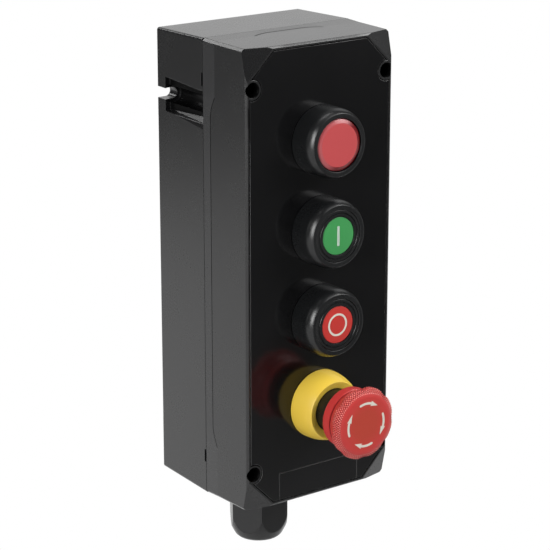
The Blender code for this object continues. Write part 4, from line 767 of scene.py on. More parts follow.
# %% The front cover's body
def line_depth(x, z):
    """Depth of the cover's line: level in the middle of each side and further forward at its ends."""
    on_side = abs(x) > HALF_WIDTH - 2
    along, half = (abs(z), LINE_HALF_Z) if on_side else (abs(x), LINE_HALF_X)
    share = min(1.0, max(0.0, (along - half + SWEEP_LENGTH) / SWEEP_LENGTH))
    return PARTING + LINE_DEPTH + LINE_SWEEP * share ** 2


def sweep_marks(half):
    """Eleven places along a side on which the line's sweep is drawn, from its end inwards."""
    return [half - SWEEP_LENGTH * i / 10 for i in range(11)]


def stations(outline):
    """The same outline with extra points where the line sweeps."""
    points = []
    for (x, z), (next_x, next_z) in zip(outline, outline[1:] + outline[:1]):
        points.append((x, z))
        upright = abs(next_z - z) > abs(next_x - x)
        half, start, end = (LINE_HALF_Z, z, next_z) if upright else (LINE_HALF_X, x, next_x)
        if abs(end - start) < 2 * half:
            continue
        marks = sorted([side * mark for side in (-1, 1) for mark in sweep_marks(half)], reverse=end < start)
        points += [(x, mark) if upright else (mark, z) for mark in marks]
    return points


RIM = 1.0                           # chamfer round the front face
rings = []
for depth, inset in (
    (PARTING + GAP / 2, 0.0), (None, COVER_DRAFT / 2), (DEPTH - RIM, COVER_DRAFT), (DEPTH, COVER_DRAFT + RIM),
):                                  # None stands for the depth of the line
    outline = stations(rounded_rectangle(HALF_WIDTH - inset, HALF_HEIGHT - inset, 1.5, 1))
    rings.append([(x, -(depth or line_depth(x, z)), z) for x, z in outline])
blank = skin(rings)
for sx, sz in CORNERS:
    bmesh.ops.bisect_plane(
        blank, geom=blank.verts[:] + blank.edges[:] + blank.faces[:], clear_outer=True, dist=1e-5,
        plane_co=(sx * (FRONT_SUM - FRONT_HALF_HEIGHT), -DEPTH, sz * FRONT_HALF_HEIGHT),
        plane_no=Vector((sx, -FACET_LEG / FACET_DROP, sz)).normalized(),
    )
    bmesh.ops.holes_fill(blank, edges=[edge for edge in blank.edges if edge.is_boundary])
cover_shell = make("cover_shell", blank, MOULDED)
print("cover blank", len(cover_shell.data.polygons), "faces")

# %% The front cover's openings
BEHIND, IN_FRONT = PARTING - OVERRUN, DEPTH + OVERRUN


def panel_holes():
    """A cutter for each operator's hole."""
    return [make("panel hole", turned(disc(PANEL_HOLE, PARTING, IN_FRONT), PANEL_ROUND), centre=(0, 0, z))
            for z in OPERATOR_Z]


plate_recess = prism(plate_outline(GAP + 0.2), DEPTH - PLATE_THICKNESS - GAP, IN_FRONT)
well = [(0.0, BEHIND), (SCREW_HOLE, BEHIND), (SCREW_HOLE, WELL_FLOOR), (WELL_RADIUS, WELL_FLOOR),
        (WELL_RADIUS, DEPTH - 0.9), (WELL_MOUTH, DEPTH - 0.4), (WELL_MOUTH, IN_FRONT), (0.0, IN_FRONT)]
cuts = [make("hollow", prism(cavity(), BEHIND, DEPTH - FRONT_WALL)), make("plate recess", plate_recess)]
cuts += panel_holes()
cuts += [make("well", turned(well, PANEL_ROUND), centre=(sx * SCREW_X, 0, sz * SCREW_Z))
         for sx, sz in CORNERS]
cut(cover_shell, cuts)
soften(cover_shell, BROKEN)
print("cover body", len(cover_shell.data.polygons), "faces")

# %% The line round the cover
LINE_CUT, LINE_HALF_WIDTH = 0.8, 0.25
lines = []
for half, offset, side, across in (
    (LINE_HALF_Z, HALF_WIDTH, 1, False), (LINE_HALF_Z, HALF_WIDTH, -1, False),
    (LINE_HALF_X, HALF_HEIGHT, 1, True), (LINE_HALF_X, HALF_HEIGHT, -1, True),
):
    inner, outer = side * (offset - LINE_CUT), side * (offset + OVERRUN)
    marks = sweep_marks(half)
    rings = []
    for along in marks + [-mark for mark in reversed(marks)]:
        depth = line_depth(along, 0) if across else line_depth(HALF_WIDTH, along)
        near, far = depth - LINE_HALF_WIDTH, depth + LINE_HALF_WIDTH
        corners = ((inner, near), (outer, near), (outer, far), (inner, far))
        rings.append([(along, -d, a) if across else (a, -d, along) for a, d in corners])
    lines.append(make("line", skin(rings)))
cut(cover_shell, lines)
crisp_flats(cover_shell)
ride(cover_shell, "root", "moulded_black", "front_cover")

# %% [markdown]
# The front plate is a gloss black panel that lies flush in its recess. The Bevel gives its broken edge a
# material of its own, pale as a painted highlight that draws the thin bright outline and darker towards
# the upper left as painted shade. A narrow plain plate is let into its foot.

# %% Front plate and bare plate
plate = make("gloss_plate", prism(plate_outline(), DEPTH - PLATE_THICKNESS, DEPTH), PLATE)
label_top, label_back = -PLATE_HALF_HEIGHT + LABEL_HEIGHT, -DEPTH + LABEL_THICKNESS
recess = box((-LABEL_HALF_WIDTH - GAP, -IN_FRONT, -PLATE_HALF_HEIGHT - OVERRUN),
             (LABEL_HALF_WIDTH + GAP, label_back + GAP, label_top + GAP))
cut(plate, panel_holes() + [make("label recess", recess)])
soften(plate, 0.14, edge=PLATE_EDGE_HIGHLIGHT)
ride(plate, "root", "plate_black", "front_plate")

label = box((-LABEL_HALF_WIDTH, -DEPTH, -PLATE_HALF_HEIGHT), (LABEL_HALF_WIDTH, label_back, label_top))
bare_plate = make("bare_plate", label, PLATE)
soften(bare_plate, 0.1, edge=PLATE_EDGE_HIGHLIGHT)
ride(bare_plate, "root", "plate_black", "inscription_plate")

gasket_strip = make("gasket_strip", cavity_ring(2.5, 1.3, 43.85, 45.35), RUBBER)
ride(gasket_strip, "root", "rubber_black", "cover_gasket")

# %% [markdown]
# ## Cover screws by Geometry Nodes
#
# Four equal screws sit at the bottom of the wells. Repeats are what instancing is for: one screw is
# drawn, four points are laid out, and Geometry Nodes set the screw on each. The spacing is a named
# input. The tree ends by turning the instances into real mesh and giving them their material.

# %% A tree that repeats one mesh
def geometry_graph(name, sizes):
    """Empty Geometry Nodes tree with a geometry input and output and named number inputs."""
    tree = bpy.data.node_groups.new(name, "GeometryNodeTree")
    tree.interface.new_socket("Geometry", in_out="INPUT", socket_type="NodeSocketGeometry")
    tree.interface.new_socket("Geometry", in_out="OUTPUT", socket_type="NodeSocketGeometry")
    for label in sizes:
        tree.interface.new_socket(label, in_out="INPUT", socket_type="NodeSocketFloat")
    graph = Graph(tree)
    start = tree.nodes.new("NodeGroupInput")
    inputs = {socket.name: Wire(graph, socket) for socket in start.outputs if socket.name}
    return graph, inputs


def close_graph(graph, shape, material):
    """End every tree alike: real geometry with its material."""
    real = graph.add("GeometryNodeRealizeInstances", None, {"Geometry": shape})
    painted = graph.add("GeometryNodeSetMaterial", None, {"Geometry": real, "Material": material})
    end = graph.tree.nodes.new("NodeGroupOutput")
    graph.feed(end.inputs["Geometry"], painted)


def grow(item, graph, sizes, centre=(0.0, 0.0, 0.0)):
    """Run the tree on the object with these sizes, keep the mesh and move it to its place."""
    step = item.modifiers.new("shape", "NODES")
    step.node_group = graph.tree
    for socket in graph.tree.interface.items_tree:
        if socket.in_out == "INPUT" and socket.name in sizes:
            step[socket.identifier] = sizes[socket.name]
    settle(item)
    item.data.transform(Matrix.Translation(Vector(centre) * MM))
    item.data.shade_smooth()
    item.data.set_sharp_from_angle(angle=math.radians(35))
    print(f"{item.name}: {len(item.data.vertices)} points from {graph.tree.name}")
    return item


print("geometry helpers ready")

# %% Four cover screws
QUARTER = (math.radians(90), 0.0, 0.0)      # turns what lies flat to stand up, facing the viewer
SCREW_TIP, SHANK, SCREW_HEAD, HEAD_HEIGHT, DRIVER_DEPTH, DRIVER_HALF_WIDTH = 24.0, 1.9, 3.3, 4.0, 1.2, 0.45
graph, inputs = geometry_graph("four corners", ("Spacing X", "Spacing Z"))
grid = graph.add("GeometryNodeMeshGrid", None, {
    "Size X": inputs["Spacing X"], "Size Y": inputs["Spacing Z"], "Vertices X": 2, "Vertices Y": 2})
upright = graph.add("GeometryNodeTransform", None, {"Geometry": grid, "Rotation": QUARTER})
points = graph.add("GeometryNodeInstanceOnPoints", None, {"Points": upright, "Instance": inputs["Geometry"]})
close_graph(graph, points, STEEL)

seat = WELL_FLOOR + GAP
top = seat + HEAD_HEIGHT
profile = [(0.0, SCREW_TIP), (SHANK - 0.4, SCREW_TIP), (SHANK, SCREW_TIP + 0.4), (SHANK, seat),
           (SCREW_HEAD, seat, 0.1), (SCREW_HEAD, top, 0.5), (0.0, top)]
cover_screws = make("cover_screws", turned(eased(profile), HOLE_ROUND), STEEL)
driver = box((-9, -top - 5, -DRIVER_HALF_WIDTH), (9, DRIVER_DEPTH - top, DRIVER_HALF_WIDTH))
cut(cover_screws, [make("slot", driver)])
grow(cover_screws, graph, {"Spacing X": 2 * SCREW_X * MM, "Spacing Z": 2 * SCREW_Z * MM})
ride(cover_screws, "root", "bright_steel", "cover_screw_1", "cover_screw_2", "cover_screw_3", "cover_screw_4")

# %% [markdown]
# ## Lamp and push buttons
#
# All three share one black collar: a straight skirt, a full rounded shoulder and a narrow flat
# rim. They are turned from a profile with 128 segments, which is fine enough for a round outline.
# The barrel behind the panel and the bore keep the sizes of the CAD, so the moving parts run free.

# %% Collars
ROUND, SHOULDER, SEAL_INNER, SEAL_OUTER, SEAL_DEPTH = 128, 5.5, 12.6, 17.2, 1.8


def turned_piece(name, node, body, slot, material, profile, centre, segments=ROUND, axis="Y"):
    """Turned piece in its finish, on its body and in the place of its CAD node."""
    ride(make(name, turned(eased(profile), segments, axis), material, centre), body, slot, node)


def barrel(bore, floor, outer):
    """Lower half of every collar: bore, barrel through the panel and recess for the seal."""
    return [(bore, floor), (bore, -BARREL_LENGTH), (BARREL, -BARREL_LENGTH, 0.5), (BARREL, GAP),
            (SEAL_INNER, GAP), (SEAL_INNER, SEAL_DEPTH), (SEAL_OUTER, SEAL_DEPTH), (SEAL_OUTER, GAP),
            (outer, GAP, 0.15)]


def black_collar(bore):
    """Barrel, straight skirt and a shoulder that is one arc, upright at its foot."""
    profile = barrel(bore, COLLAR_FLOOR, COLLAR)
    sweep = 2 * math.atan((COLLAR - COLLAR_RIM) / SHOULDER)
    radius = SHOULDER / math.sin(sweep)
    for i in range(16):
        angle = sweep * i / 16
        inset, rise = radius * (1 - math.cos(angle)), radius * math.sin(angle)
        profile.append((COLLAR - inset, COLLAR_TOP - SHOULDER + rise))
    profile += [(COLLAR_RIM, COLLAR_TOP, 0.35), (COLLAR_BORE, COLLAR_TOP, 0.25), (COLLAR_BORE, COLLAR_FLOOR)]
    return profile


for name, z, bore in (("lamp", LAMP_Z, 8.5), ("start", START_Z, 4.4), ("stop", STOP_Z, 4.4)):
    centre, profile = (0, -DEPTH, z), black_collar(bore)
    turned_piece(f"{name}_ring", f"{name}_collar", "root", "operator_black", OPERATOR, profile, centre)

# %% Lamp lens
LENS_WALL, LENS_FOOT, LENS_INSIDE = 1.7, 6.3, 15.1
profile = [(0.0, COLLAR_TOP), (LENS_FACE, COLLAR_TOP, 0.2), (CAP - 0.35, COLLAR_TOP - 0.8, 0.3),
           (CAP, COLLAR_TOP - 1.6, 0.3), (CAP, LENS_FOOT), (CAP - LENS_WALL, LENS_FOOT),
           (CAP - LENS_WALL, LENS_INSIDE), (0.0, LENS_INSIDE)]
turned_piece("red_lens", "lamp_lens", "root", "lens_red", LENS, profile, (0, -DEPTH, LAMP_Z))

# %% [markdown]
# Each button is a black cap with a coloured disc let into it. The cap has a fine ring groove, and
# the disc lies a little below the cap's face. The I and the O are the common signs for on and off,
# so they are real raised shapes here: a bar with rounded ends and a ring.

# %% Caps, discs and signs
CAP_SEAT, SPRING_BORE, SPRING_SEAT, STEM_BORE, STEM_SEAT = 14.2, 8.2, 12.8, 4.3, 13.6
GROOVE_HALF_WIDTH, GROOVE_DEPTH = 0.25, 0.4


def button(name, z, colour, slot, sign, sign_colour):
    """Cap, coloured disc and sign of one push button, all on its moving body."""
    centre, body = (0, -DEPTH, z), f"{name}_button"
    profile = [(0.0, CAP_SEAT), (INSERT + GAP, CAP_SEAT), (INSERT + GAP, CAP_TOP, 0.12),
               (GROOVE - GROOVE_HALF_WIDTH, CAP_TOP), (GROOVE, CAP_TOP - GROOVE_DEPTH),
               (GROOVE + GROOVE_HALF_WIDTH, CAP_TOP), (CAP, CAP_TOP, 0.3), (CAP, CAP_BACK),
               (SPRING_BORE, CAP_BACK), (SPRING_BORE, SPRING_SEAT), (STEM_BORE, SPRING_SEAT),
               (STEM_BORE, STEM_SEAT), (0.0, STEM_SEAT)]
    turned_piece(f"{name}_black_cap", f"{name}_cap", body, "operator_black", OPERATOR, profile, centre)
    low = INSERT_TOP - INSERT_THICKNESS
    profile = [(0.0, low), (INSERT, low), (INSERT, INSERT_TOP, 0.25), (0.0, INSERT_TOP)]
    turned_piece(f"{name}_disc", f"{name}_insert", body, slot, colour, profile, centre)
    ride(make(f"{name}_sign", sign, sign_colour, centre), body, "stem_white")


SIGN_TOP, BAR_HALF_WIDTH, BAR_HALF_HEIGHT, RING_BORE, RING = INSERT_TOP + 0.12, 0.8, 5.5, 5.25, 6.4
bar = eased([(sx * BAR_HALF_WIDTH, sz * BAR_HALF_HEIGHT, 0.6)
             for sx, sz in ((-1, -1), (1, -1), (1, 1), (-1, 1))])
button("start", START_Z, GREEN, "button_green", prism(bar, INSERT_TOP, SIGN_TOP), SIGN)
ring = [(RING_BORE, INSERT_TOP), (RING, INSERT_TOP), (RING, SIGN_TOP), (RING_BORE, SIGN_TOP)]
button("stop", STOP_Z, RED, "button_red", turned(ring, ROUND), MARK)

# %% [markdown]
# ## Emergency stop
#
# The yellow collar bulges like a barrel and narrows to a rim, and a lip slopes in from the rim
# to a black sleeve. The red head stands well clear of it in two tiers, so that a gloved hand finds it.
# The curve of the collar is one quadratic curve, as on the drawing of a turned part.

# %% Yellow collar, sleeve and lower tier
def curve(start, pull, end, steps):
    """Points on a quadratic curve that leaves towards the pull and arrives from it."""
    return [tuple((1 - t) ** 2 * a + 2 * t * (1 - t) * b + t * t * c for a, b, c in zip(start, pull, end))
            for t in (i / steps for i in range(steps + 1))]


centre = (0, -DEPTH, ESTOP_Z)
GUIDE, BED, SLEEVE_FOOT, SLEEVE_FLOOR = 4.9, 3.7, 4.0, 6.0
side = curve((ESTOP_COLLAR, 2.0), (19.3, 9.5), (ESTOP_RIM, 15.1), 20)
profile = barrel(GUIDE, BED, ESTOP_COLLAR) + side[:-1]
profile += [(*side[-1], 0.4), (ESTOP_LIP, 13.6, 0.2), (ESTOP_LIP, BED)]
turned_piece("yellow_collar", "estop_collar", "root", "collar_yellow", YELLOW, profile, centre)

profile = [(GUIDE, SLEEVE_FOOT), (SLEEVE, SLEEVE_FOOT), (SLEEVE, SLEEVE_TOP, 0.4),
           (SLEEVE_BORE, SLEEVE_TOP, 0.3), (SLEEVE_BORE, SLEEVE_FLOOR), (GUIDE, SLEEVE_FLOOR)]
turned_piece("black_sleeve", "estop_sleeve", "root", "operator_black", OPERATOR, profile, centre)

profile = [(ESTOP_LIP, SKIRT_FOOT, 0.2), (SKIRT, SKIRT_FOOT, 0.7), (SKIRT, SKIRT_TOP - 0.5),
           (SKIRT - 0.9, SKIRT_TOP), (ESTOP_LIP, SKIRT_TOP, 0.1)]
turned_piece("red_lower_tier", "estop_skirt", "estop_knob", "head_red", HEAD_RED, profile, centre)

# %% [markdown]
# ### The head, a shape that follows a rule
#
# The head's side is a turned flare, but its outline isn't round: eight shallow scallops give the
# fingers a hold, and a fine knurl runs across the widest ring. Both are waves of the angle round
# the axis, which is a rule that Geometry Nodes can follow. The turned blank goes in, and a Set
# Position node pulls each point towards the axis by a formula with named inputs. Near the top of the
# ring the same formula lets the teeth lean forwards.

# %% The head's tree
graph, inputs = geometry_graph("scallops and knurl", (
    "Neck radius", "Ring radius", "Flare width", "Scallops", "Scallop depth", "Teeth", "Tooth depth",
    "Tooth pitch",
))
x, y, z = graph.axes(graph.add("GeometryNodeInputPosition"))
height = y * -1.0
radius = (x * x + z * z) ** 0.5
angle = z.of("ARCTAN2", x)
flared = ((radius - inputs["Neck radius"]) / inputs["Flare width"]).of("MAXIMUM", 0.0)

wave = (angle * inputs["Scallops"] * 0.5).of("COSINE")
square = wave * wave
scallop = square * square * square * flared * inputs["Scallop depth"]       # narrow, with wide lands between

round_wave = (angle * inputs["Teeth"]).of("COSINE")
climb = (inputs["Ring radius"] - radius + height) / inputs["Tooth pitch"] * math.pi
cross_wave = climb.of("COSINE")
knurled = height.rise(36.0 * MM, 37.4 * MM) * height.fall(41.5 * MM, 41.85 * MM) * flared.rise(0.1, 0.4)
dent = (0.5 - round_wave * cross_wave * 0.5) * knurled * inputs["Tooth depth"]
lean = height.rise(38.5 * MM, 41.2 * MM)        # towards the top the teeth point forwards
scale = 1 - (scallop + dent * (1 - lean * 0.5)) / radius.of("MAXIMUM", 1e-5)
moved = graph.add("ShaderNodeCombineXYZ", None, {0: x * scale, 1: y + dent * lean * 0.85, 2: z * scale})
shaped = graph.add("GeometryNodeSetPosition", None, {"Geometry": inputs["Geometry"], "Position": moved})
close_graph(graph, shaped, HEAD_RED)
print("the tree has", len(graph.tree.nodes), "nodes")

# %% The scalloped head
FLARE_TOP, SOCKET, SOCKET_END, HUB, HUB_FOOT = 37.4, 4.8, 38.3, 8.2, 27.0
flare = curve((HEAD_NECK, HEAD_FOOT + 0.9), (HEAD_NECK + 0.6, 35.4), (HEAD - 0.15, FLARE_TOP), 12)
bevel = curve((HEAD, HEAD_RING), (19.9, 41.2), (HEAD_FACE + 0.2, HEAD_TOP - 0.04), 20)
profile = [(0.0, SOCKET_END), (SOCKET, SOCKET_END), (SOCKET, HUB_FOOT), (HUB, HUB_FOOT, 0.3),
           (HUB, HEAD_FOOT), (HEAD_NECK - 1.3, HEAD_FOOT), (HEAD_NECK - 0.5, HEAD_FOOT + 0.5)]
profile += flare + [(HEAD, FLARE_TOP + 0.23 * i) for i in range(1, 10)] + bevel
profile += [(HEAD_FACE - 0.4, HEAD_TOP), (HEAD_FACE / 2, HEAD_TOP), (0.0, HEAD_TOP)]
head = make("red_head", turned(eased(profile), TEETH * 6), HEAD_RED)
grow(head, graph, {
    "Neck radius": HEAD_NECK * MM, "Ring radius": HEAD * MM, "Flare width": (HEAD - HEAD_NECK) * MM,
    "Scallops": 8, "Scallop depth": 0.8 * MM, "Teeth": TEETH, "Tooth depth": TOOTH_DEPTH * MM,
    "Tooth pitch": TOOTH_PITCH * MM,
}, centre)
ride(head, "estop_knob", "head_red", "estop_head")

# %% [markdown]
# Four pale arrows show which way the head turns to release it. One arrow is drawn at the top of
# the face, and Geometry Nodes repeat it round the axis: points without position, each carrying the
# arrow, turned by its number times a quarter turn.

# %% Four arrows
graph, inputs = geometry_graph("round the axis", ("Count",))
points = graph.add("GeometryNodePoints", None, {"Count": inputs["Count"]})
number = graph.add("GeometryNodeInputIndex")
turn = graph.add("ShaderNodeCombineXYZ", None, {1: number / inputs["Count"] * math.tau})
ringed = graph.add("GeometryNodeInstanceOnPoints", None, {
    "Points": points, "Instance": inputs["Geometry"], "Rotation": turn})
close_graph(graph, ringed, MARK)

ARROW_RADIUS, ARROW_START, ARROW_SWEEP, STROKE, BARB = 12.1, -19, 36, 0.65, 1.5


def clock(radius, degrees):
    """Point at a clockwise angle from the top, as the viewer sees it."""
    return radius * math.sin(math.radians(degrees)), radius * math.cos(math.radians(degrees))


arc = [ARROW_START + ARROW_SWEEP * i / 14 for i in range(15)]
tail_x, tail_z = clock(ARROW_RADIUS, ARROW_START)
tail = [(tail_x - STROKE * math.sin(a), tail_z - STROKE * math.cos(a))
        for a in (math.radians(20 + 140 * i / 6) for i in range(7))]
outline = [clock(ARROW_RADIUS - STROKE, a) for a in reversed(arc)] + tail
outline += [clock(ARROW_RADIUS + STROKE, a) for a in arc]
outline += [clock(ARROW_RADIUS + BARB, 15.5), clock(ARROW_RADIUS + 0.2, 39), clock(ARROW_RADIUS - BARB, 15.5)]
arrows = make("head_arrows", prism(outline, HEAD_TOP - 0.02, HEAD_TOP + 0.12), MARK)
grow(arrows, graph, {"Count": 4.0}, centre)
ride(arrows, "estop_knob", "stem_white")

# %% [markdown]
# ## Springs
#
# A compression spring is a round wire that follows a helix, so Geometry Nodes sweep a circle along a
# spiral. Each spring stands between a collar and a moving part.

# %% Three springs
graph, inputs = geometry_graph("coil spring", ("Radius", "Wire", "Turns", "Length"))
spiral = graph.add("GeometryNodeCurveSpiral", None, {
    "Resolution": 40, "Rotations": inputs["Turns"], "Start Radius": inputs["Radius"],
    "End Radius": inputs["Radius"], "Height": inputs["Length"]})
laid = graph.add("GeometryNodeTransform", None, {"Geometry": spiral, "Rotation": QUARTER})
section = graph.add("GeometryNodeCurvePrimitiveCircle", None, {"Resolution": 10, "Radius": inputs["Wire"]})
wire = graph.add("GeometryNodeCurveToMesh", None, {
    "Curve": laid, "Profile Curve": section, "Fill Caps": True})
close_graph(graph, wire, STEEL)

for name, z, radius, thick, turns, low, high, travel in (
    ("start", START_Z, 6.8, 0.3, 3, 6.3, 12.5, 4.0), ("stop", STOP_Z, 6.8, 0.3, 3, 6.3, 12.5, 4.0),
    ("estop", ESTOP_Z, 6.6, 0.5, 4, 6.3, 26.7, 6.0),
):
    coil = make(f"{name}_coil", turned(disc(radius, low, high), 8), STEEL)
    length = high - low - 2 * thick
    sizes = {"Radius": radius * MM, "Wire": thick * MM, "Turns": float(turns), "Length": length * MM}
    grow(coil, graph, sizes, (0, -DEPTH - low - thick, z))
    ride(coil, "root", "bright_steel", f"{name}_spring")
    anchor = (0.0, -(DEPTH + low) * MM, z * MM)
    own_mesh(coil)

# %% [markdown]
# ## Cable gland
#
# The gland clamps a cable and keeps the flame path shut. From the box down it has a washer, a
# hexagon flange and a long dome nut. The dome nut is a hexagon inside a turned outline: where the
# flats meet the cone they end in arcs, which a Boolean intersection gives by itself.

# %% Flange and body
GLAND_ROUND, DOME_ROUND, CORNER = 96, 144, ACROSS_FLATS / math.sqrt(3)
GLAND_THREAD, THREAD_TOP, NECK, NECK_TOP, NECK_FOOT = 12.4, -112.1, 13.2, -134.2, -157.7
GLAND_BORE, SEAL_BORE, SEAL_TOP, FLANGE_FACE, FLANGE_EDGE, EDGE_DROP = 9.6, 12.0, -138.7, 17.3, 18.5, 0.8
axis = (0, -GLAND_DEPTH, 0)


def hexagon_block(low, high):
    """Cutter that leaves six flats on a turned piece."""
    outline = [(CORNER * math.cos(math.tau * i / 6), CORNER * math.sin(math.tau * i / 6)) for i in range(6)]
    return make("flats", skin([[(x, y, z) for x, y in outline] for z in (low, high)]), centre=axis)


core = [(GLAND_BORE, THREAD_TOP), (GLAND_THREAD, THREAD_TOP, 0.5), (GLAND_THREAD, NECK_TOP), (NECK, NECK_TOP),
        (NECK, NECK_FOOT), (SEAL_BORE, NECK_FOOT), (SEAL_BORE, SEAL_TOP), (GLAND_BORE, SEAL_TOP)]
gland = make("gland_shank", turned(eased(core), GLAND_ROUND, "Z"), GLAND_BLACK, axis)
chamfer = [(0.0, FLANGE_FOOT), (FLANGE_FACE, FLANGE_FOOT), (FLANGE_EDGE, FLANGE_FOOT + EDGE_DROP),
           (FLANGE_EDGE, FLANGE_TOP - EDGE_DROP), (FLANGE_FACE, FLANGE_TOP), (0.0, FLANGE_TOP)]
flange = make("flange", turned(chamfer, GLAND_ROUND, "Z"), centre=axis)
cut(flange, [hexagon_block(-180.0, -100.0)], "INTERSECT")
cut(flange, [make("core hole", turned(disc(SEAL_BORE, -150.0, -100.0), GLAND_ROUND, "Z"), centre=axis)])
cut(gland, [flange], "UNION")
soften(gland, 0.2)
ride(gland, "root", "moulded_black", "gland_body")

# %% Dome nut
NUT_ROUNDING, END_RADIUS, BOW, THROAT = 1.4, ACROSS_FLATS / 2 - 2.0, 0.16, -160.2
outside, cone_top = CORNER + NUT_ROUNDING, NUT_END + CONE
profile = [(0.0, NUT_TOP), (outside, NUT_TOP), (outside, cone_top + NUT_ROUNDING)]
for i in range(17):
    t = i / 16
    bow = BOW * math.sin(math.pi * t) * (CORNER - END_RADIUS)
    profile.append((CORNER + (END_RADIUS - CORNER) * t + bow, cone_top + (NUT_ROUNDING - CONE) * t))
profile[-1] = (*profile[-1], 1.6)
profile += [(END_RADIUS - NUT_ROUNDING, NUT_END, 1.0), (0.0, NUT_END)]
dome = make("dome_nut", turned(eased(profile), DOME_ROUND, "Z"), GLAND_BLACK, axis)
cut(dome, [hexagon_block(-190.0, -120.0)], "INTERSECT")
bore = [(0.0, NUT_TOP + 9), (13.5, NUT_TOP + 9), (13.5, -158.0), (SEAL_BORE, THROAT), (9.0, THROAT - 4.0),
        (9.0, NUT_END - 9), (0.0, NUT_END - 9)]
cut(dome, [make("bore", turned(bore, GLAND_ROUND, "Z"), centre=axis)])
soften(dome, 0.14, segments=1, sharp=9)
ride(dome, "root", "moulded_black", "gland_cap_nut")

# %% Washer and cable seal
washer = [(12.7, -130.4), (15.5, -130.4, 0.3), (15.5, -128.9, 0.3), (12.7, -128.9)]
turned_piece("gland_ring", "gland_washer", "root", "rubber_black", RUBBER, washer, axis, GLAND_ROUND, "Z")
seal = [(8.5, -139.0, 0.4), (11.7, -139.0, 0.3), (11.7, -156.5), (9.5, -159.5, 0.3), (8.5, -159.5, 0.3)]
turned_piece("cable_seal", "gland_seal", "root", "rubber_black", RUBBER, seal, axis, ENTRY_ROUND, "Z")

# %% [markdown]
# ## Hidden parts
#
# The seals, nuts, contact elements, terminals and rail sit inside. Their CAD solids have the right
# shape, so they stay as they are and only get their finishes. Only the material slot changes.

# %% Finishes on the CAD parts
kept = {
    RUBBER: ("lamp_seal", "start_seal", "stop_seal", "estop_seal"),
    ZINC: ("lamp_lock_nut", "start_lock_nut", "stop_lock_nut", "estop_lock_nut", "terminal_rail",
           "estop_stem"),
    ELEMENT: ("lamp_block", "start_contact_block", "stop_contact_block", "estop_contact_block",
              "terminal_1", "terminal_2", "terminal_3", "terminal_4"),
    WHITE: ("start_stem", "stop_stem"),
    LED: ("lamp_led",),
    STEEL: ("rail_screw_1", "rail_screw_2"),
    BRASS: ("earth_bar", "earth_screw"),
    GLAND_BLACK: ("gland_lock_nut",),
}
for material, names in kept.items():
    for name in names:
        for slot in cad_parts[name].material_slots:
            slot.material = material
    print(material.name, "on", len(names), "parts")

# %% [markdown]
# ## Studio
#
# The station stands free over a pale sweep: a floor that curves up into a backdrop. Black gloss
# plastic is lit mostly by what it mirrors, so the sweep matters as much as the lamps. To the camera
# the sweep and the air above it are pure white. A photographer sets dark flags beside such a part,
# so that some of its faces mirror something dark and stay black. Here the flags are places on the
# sweep where a mirroring surface meets plain paper instead of white. The disc of floor under the
# station is plain paper to every ray. Large soft lamps light the front, and small ones from behind
# and above draw the bright edges.

# %% Camera
yaw, pitch = math.radians(36.233), math.radians(17.008)
ahead = Vector((math.sin(yaw) * math.cos(pitch), math.cos(yaw) * math.cos(pitch), -math.sin(pitch)))
lens_data = bpy.data.cameras.new("camera")
lens_data.sensor_width, lens_data.lens = 36.0, 142.32
camera = bpy.data.objects.new("camera", lens_data)
bpy.context.scene.collection.objects.link(camera)
camera.location = (-0.68898, -0.98327, 0.34560)
camera.rotation_euler = ahead.to_track_quat("-Z", "Y").to_euler()
bpy.context.scene.camera = camera
print("camera", [round(v, 3) for v in camera.location], "looking", [round(v, 3) for v in ahead])

# %% Floor and backdrop
FLOOR_Z, BACK, BEND, SWEEP_REACH, SWEEP_TOP = -0.42, 1.9, 0.7, 3.5, 2.6
profile = [(-SWEEP_REACH, FLOOR_Z), (BACK - BEND, FLOOR_Z)]
profile += [(BACK - BEND + BEND * math.sin(a), FLOOR_Z + BEND * (1 - math.cos(a)))
            for a in (math.radians(90) * i / 24 for i in range(1, 25))]
profile.append((BACK, SWEEP_TOP))
bm = bmesh.new()
facing = Matrix.Rotation(-yaw, 4, "Z")      # the backdrop stands square to the camera
rows = [[bm.verts.new(facing @ Vector((across, along, level))) for across in (-SWEEP_REACH, SWEEP_REACH)]
        for along, level in profile]
for (a, b), (c, d) in zip(rows, rows[1:]):
    bm.faces.new((a, b, d, c))
mesh = bpy.data.meshes.new("sweep")
bm.to_mesh(mesh)
bm.free()
mesh.shade_smooth()
sweep = bpy.data.objects.new("sweep", mesh)
bpy.context.scene.collection.objects.link(sweep)
print("sweep of", len(mesh.polygons), "faces, floor at", FLOOR_Z)

# %% Paper of the sweep
def ray(graph, kind):
    """1 for one kind of light ray and 0 for the others."""
    return graph.add("ShaderNodeLightPath", output=f"Is {kind} Ray")


def seen_white(graph, unflagged):
    """1 for what the camera sees, and for what surfaces mirror or let through away from the flags."""
    mirrored = (ray(graph, "Glossy") + ray(graph, "Transmission")) * unflagged
    return (ray(graph, "Camera") + mirrored).of("MINIMUM", 1.0)


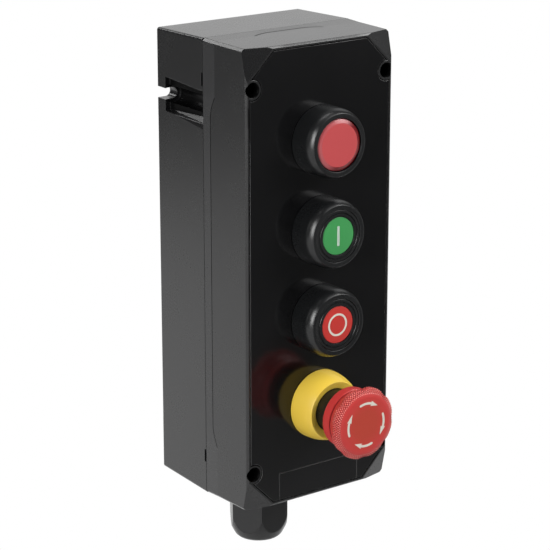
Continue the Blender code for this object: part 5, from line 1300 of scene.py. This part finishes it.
WHITE_LIGHT = (1.0, 1.0, 1.0, 1.0)
paper = bpy.data.materials.new("pale paper")
paper.use_nodes = True
graph = Graph(paper.node_tree)
paper.node_tree.nodes.clear()
x, y, z = graph.axes(graph.add("ShaderNodeTexCoord", output="Object"))
along, across = x * math.sin(yaw) + y * math.cos(yaw), x * math.cos(yaw) - y * math.sin(yaw)
away = ((x * x + (y + 0.04) ** 2.0) ** 0.5).rise(0.28, 0.36)           # outside the disc under the station
past_left_flag = (across - along * 0.6).rise(-2.26, -1.86)
out, wide = x * 0.574 - y * 0.819, x * 0.819 + y * 0.574               # along and across the front flag
front_flag = (wide.of("ABSOLUTE") - out * 0.15).fall(0.05, 0.15) * out.rise(0.2, 0.4)
right_flag = along.rise(0.6, 0.9) * across.rise(0.48, 0.65)
unflagged = past_left_flag * (1 - front_flag) * (1 - right_flag)
matt = graph.add("ShaderNodeBsdfDiffuse", None, {"Color": (0.8, 0.8, 0.8, 1.0)})
white = graph.add("ShaderNodeEmission", None, {"Color": WHITE_LIGHT, "Strength": 1.0})
mixed = graph.add("ShaderNodeMixShader", None, {0: seen_white(graph, unflagged) * away, 1: matt, 2: white})
end = paper.node_tree.nodes.new("ShaderNodeOutputMaterial")
graph.feed(end.inputs["Surface"], mixed)
sweep.data.materials.append(paper)
print("paper:", len(paper.node_tree.nodes), "nodes")

# %% Lamps
def lamp(name, place, aim, width, height, power, spread=50):
    """Rectangular lamp in metres and watts, aimed at a point and not seen by the camera."""
    data = bpy.data.lights.new(name, "AREA")
    data.shape, data.size, data.size_y = "RECTANGLE", width, height
    data.energy, data.spread = power, math.radians(spread)
    item = bpy.data.objects.new(name, data)
    bpy.context.scene.collection.objects.link(item)
    item.location = place
    item.rotation_euler = (Vector(aim) - Vector(place)).to_track_quat("-Z", "Y").to_euler()
    item.visible_camera = False
    print(f"{name}: {power} W, {width} x {height} m")


MIDDLE = (0.0, -0.04, 0.0)
lamp("left", (-1.1, -0.45, 0.38), MIDDLE, 0.45, 0.9, 2.2, spread=70)
lamp("front", (1.0, -0.85, 0.8), MIDDLE, 1.1, 1.1, 2.9)
lamp("above", (0.3, -0.75, 1.15), MIDDLE, 1.1, 1.1, 0.8)
lamp("edge left", (-0.5, 1.05, 0.9), (-0.05, -0.06, 0.13), 0.35, 0.35, 0.24)
lamp("edge top", (0.75, -0.45, 1.1), (0.0, -0.08, 0.13), 0.3, 0.3, 0.11)
lamp("pool", (-0.1, 0.1, 1.5), (-0.1, 0.1, 0.0), 1.4, 0.3, 0.5)

# %% Air round the studio
AIR = 0.11                      # how brightly the air itself lights the station
world = bpy.data.worlds.new("studio air")
world.use_nodes = True
graph = Graph(world.node_tree)
background = world.node_tree.nodes["Background"]
background.inputs["Color"].default_value = WHITE_LIGHT
height = graph.axes(graph.add("ShaderNodeNewGeometry"))[2]
below_horizon = height.fall(-0.2, 0.0)
graph.feed(background.inputs["Strength"], seen_white(graph, below_horizon) * (1 - AIR) + AIR)
bpy.context.scene.world = world
bpy.context.scene.view_settings.view_transform = "Standard"
print("air at", AIR, "of white")
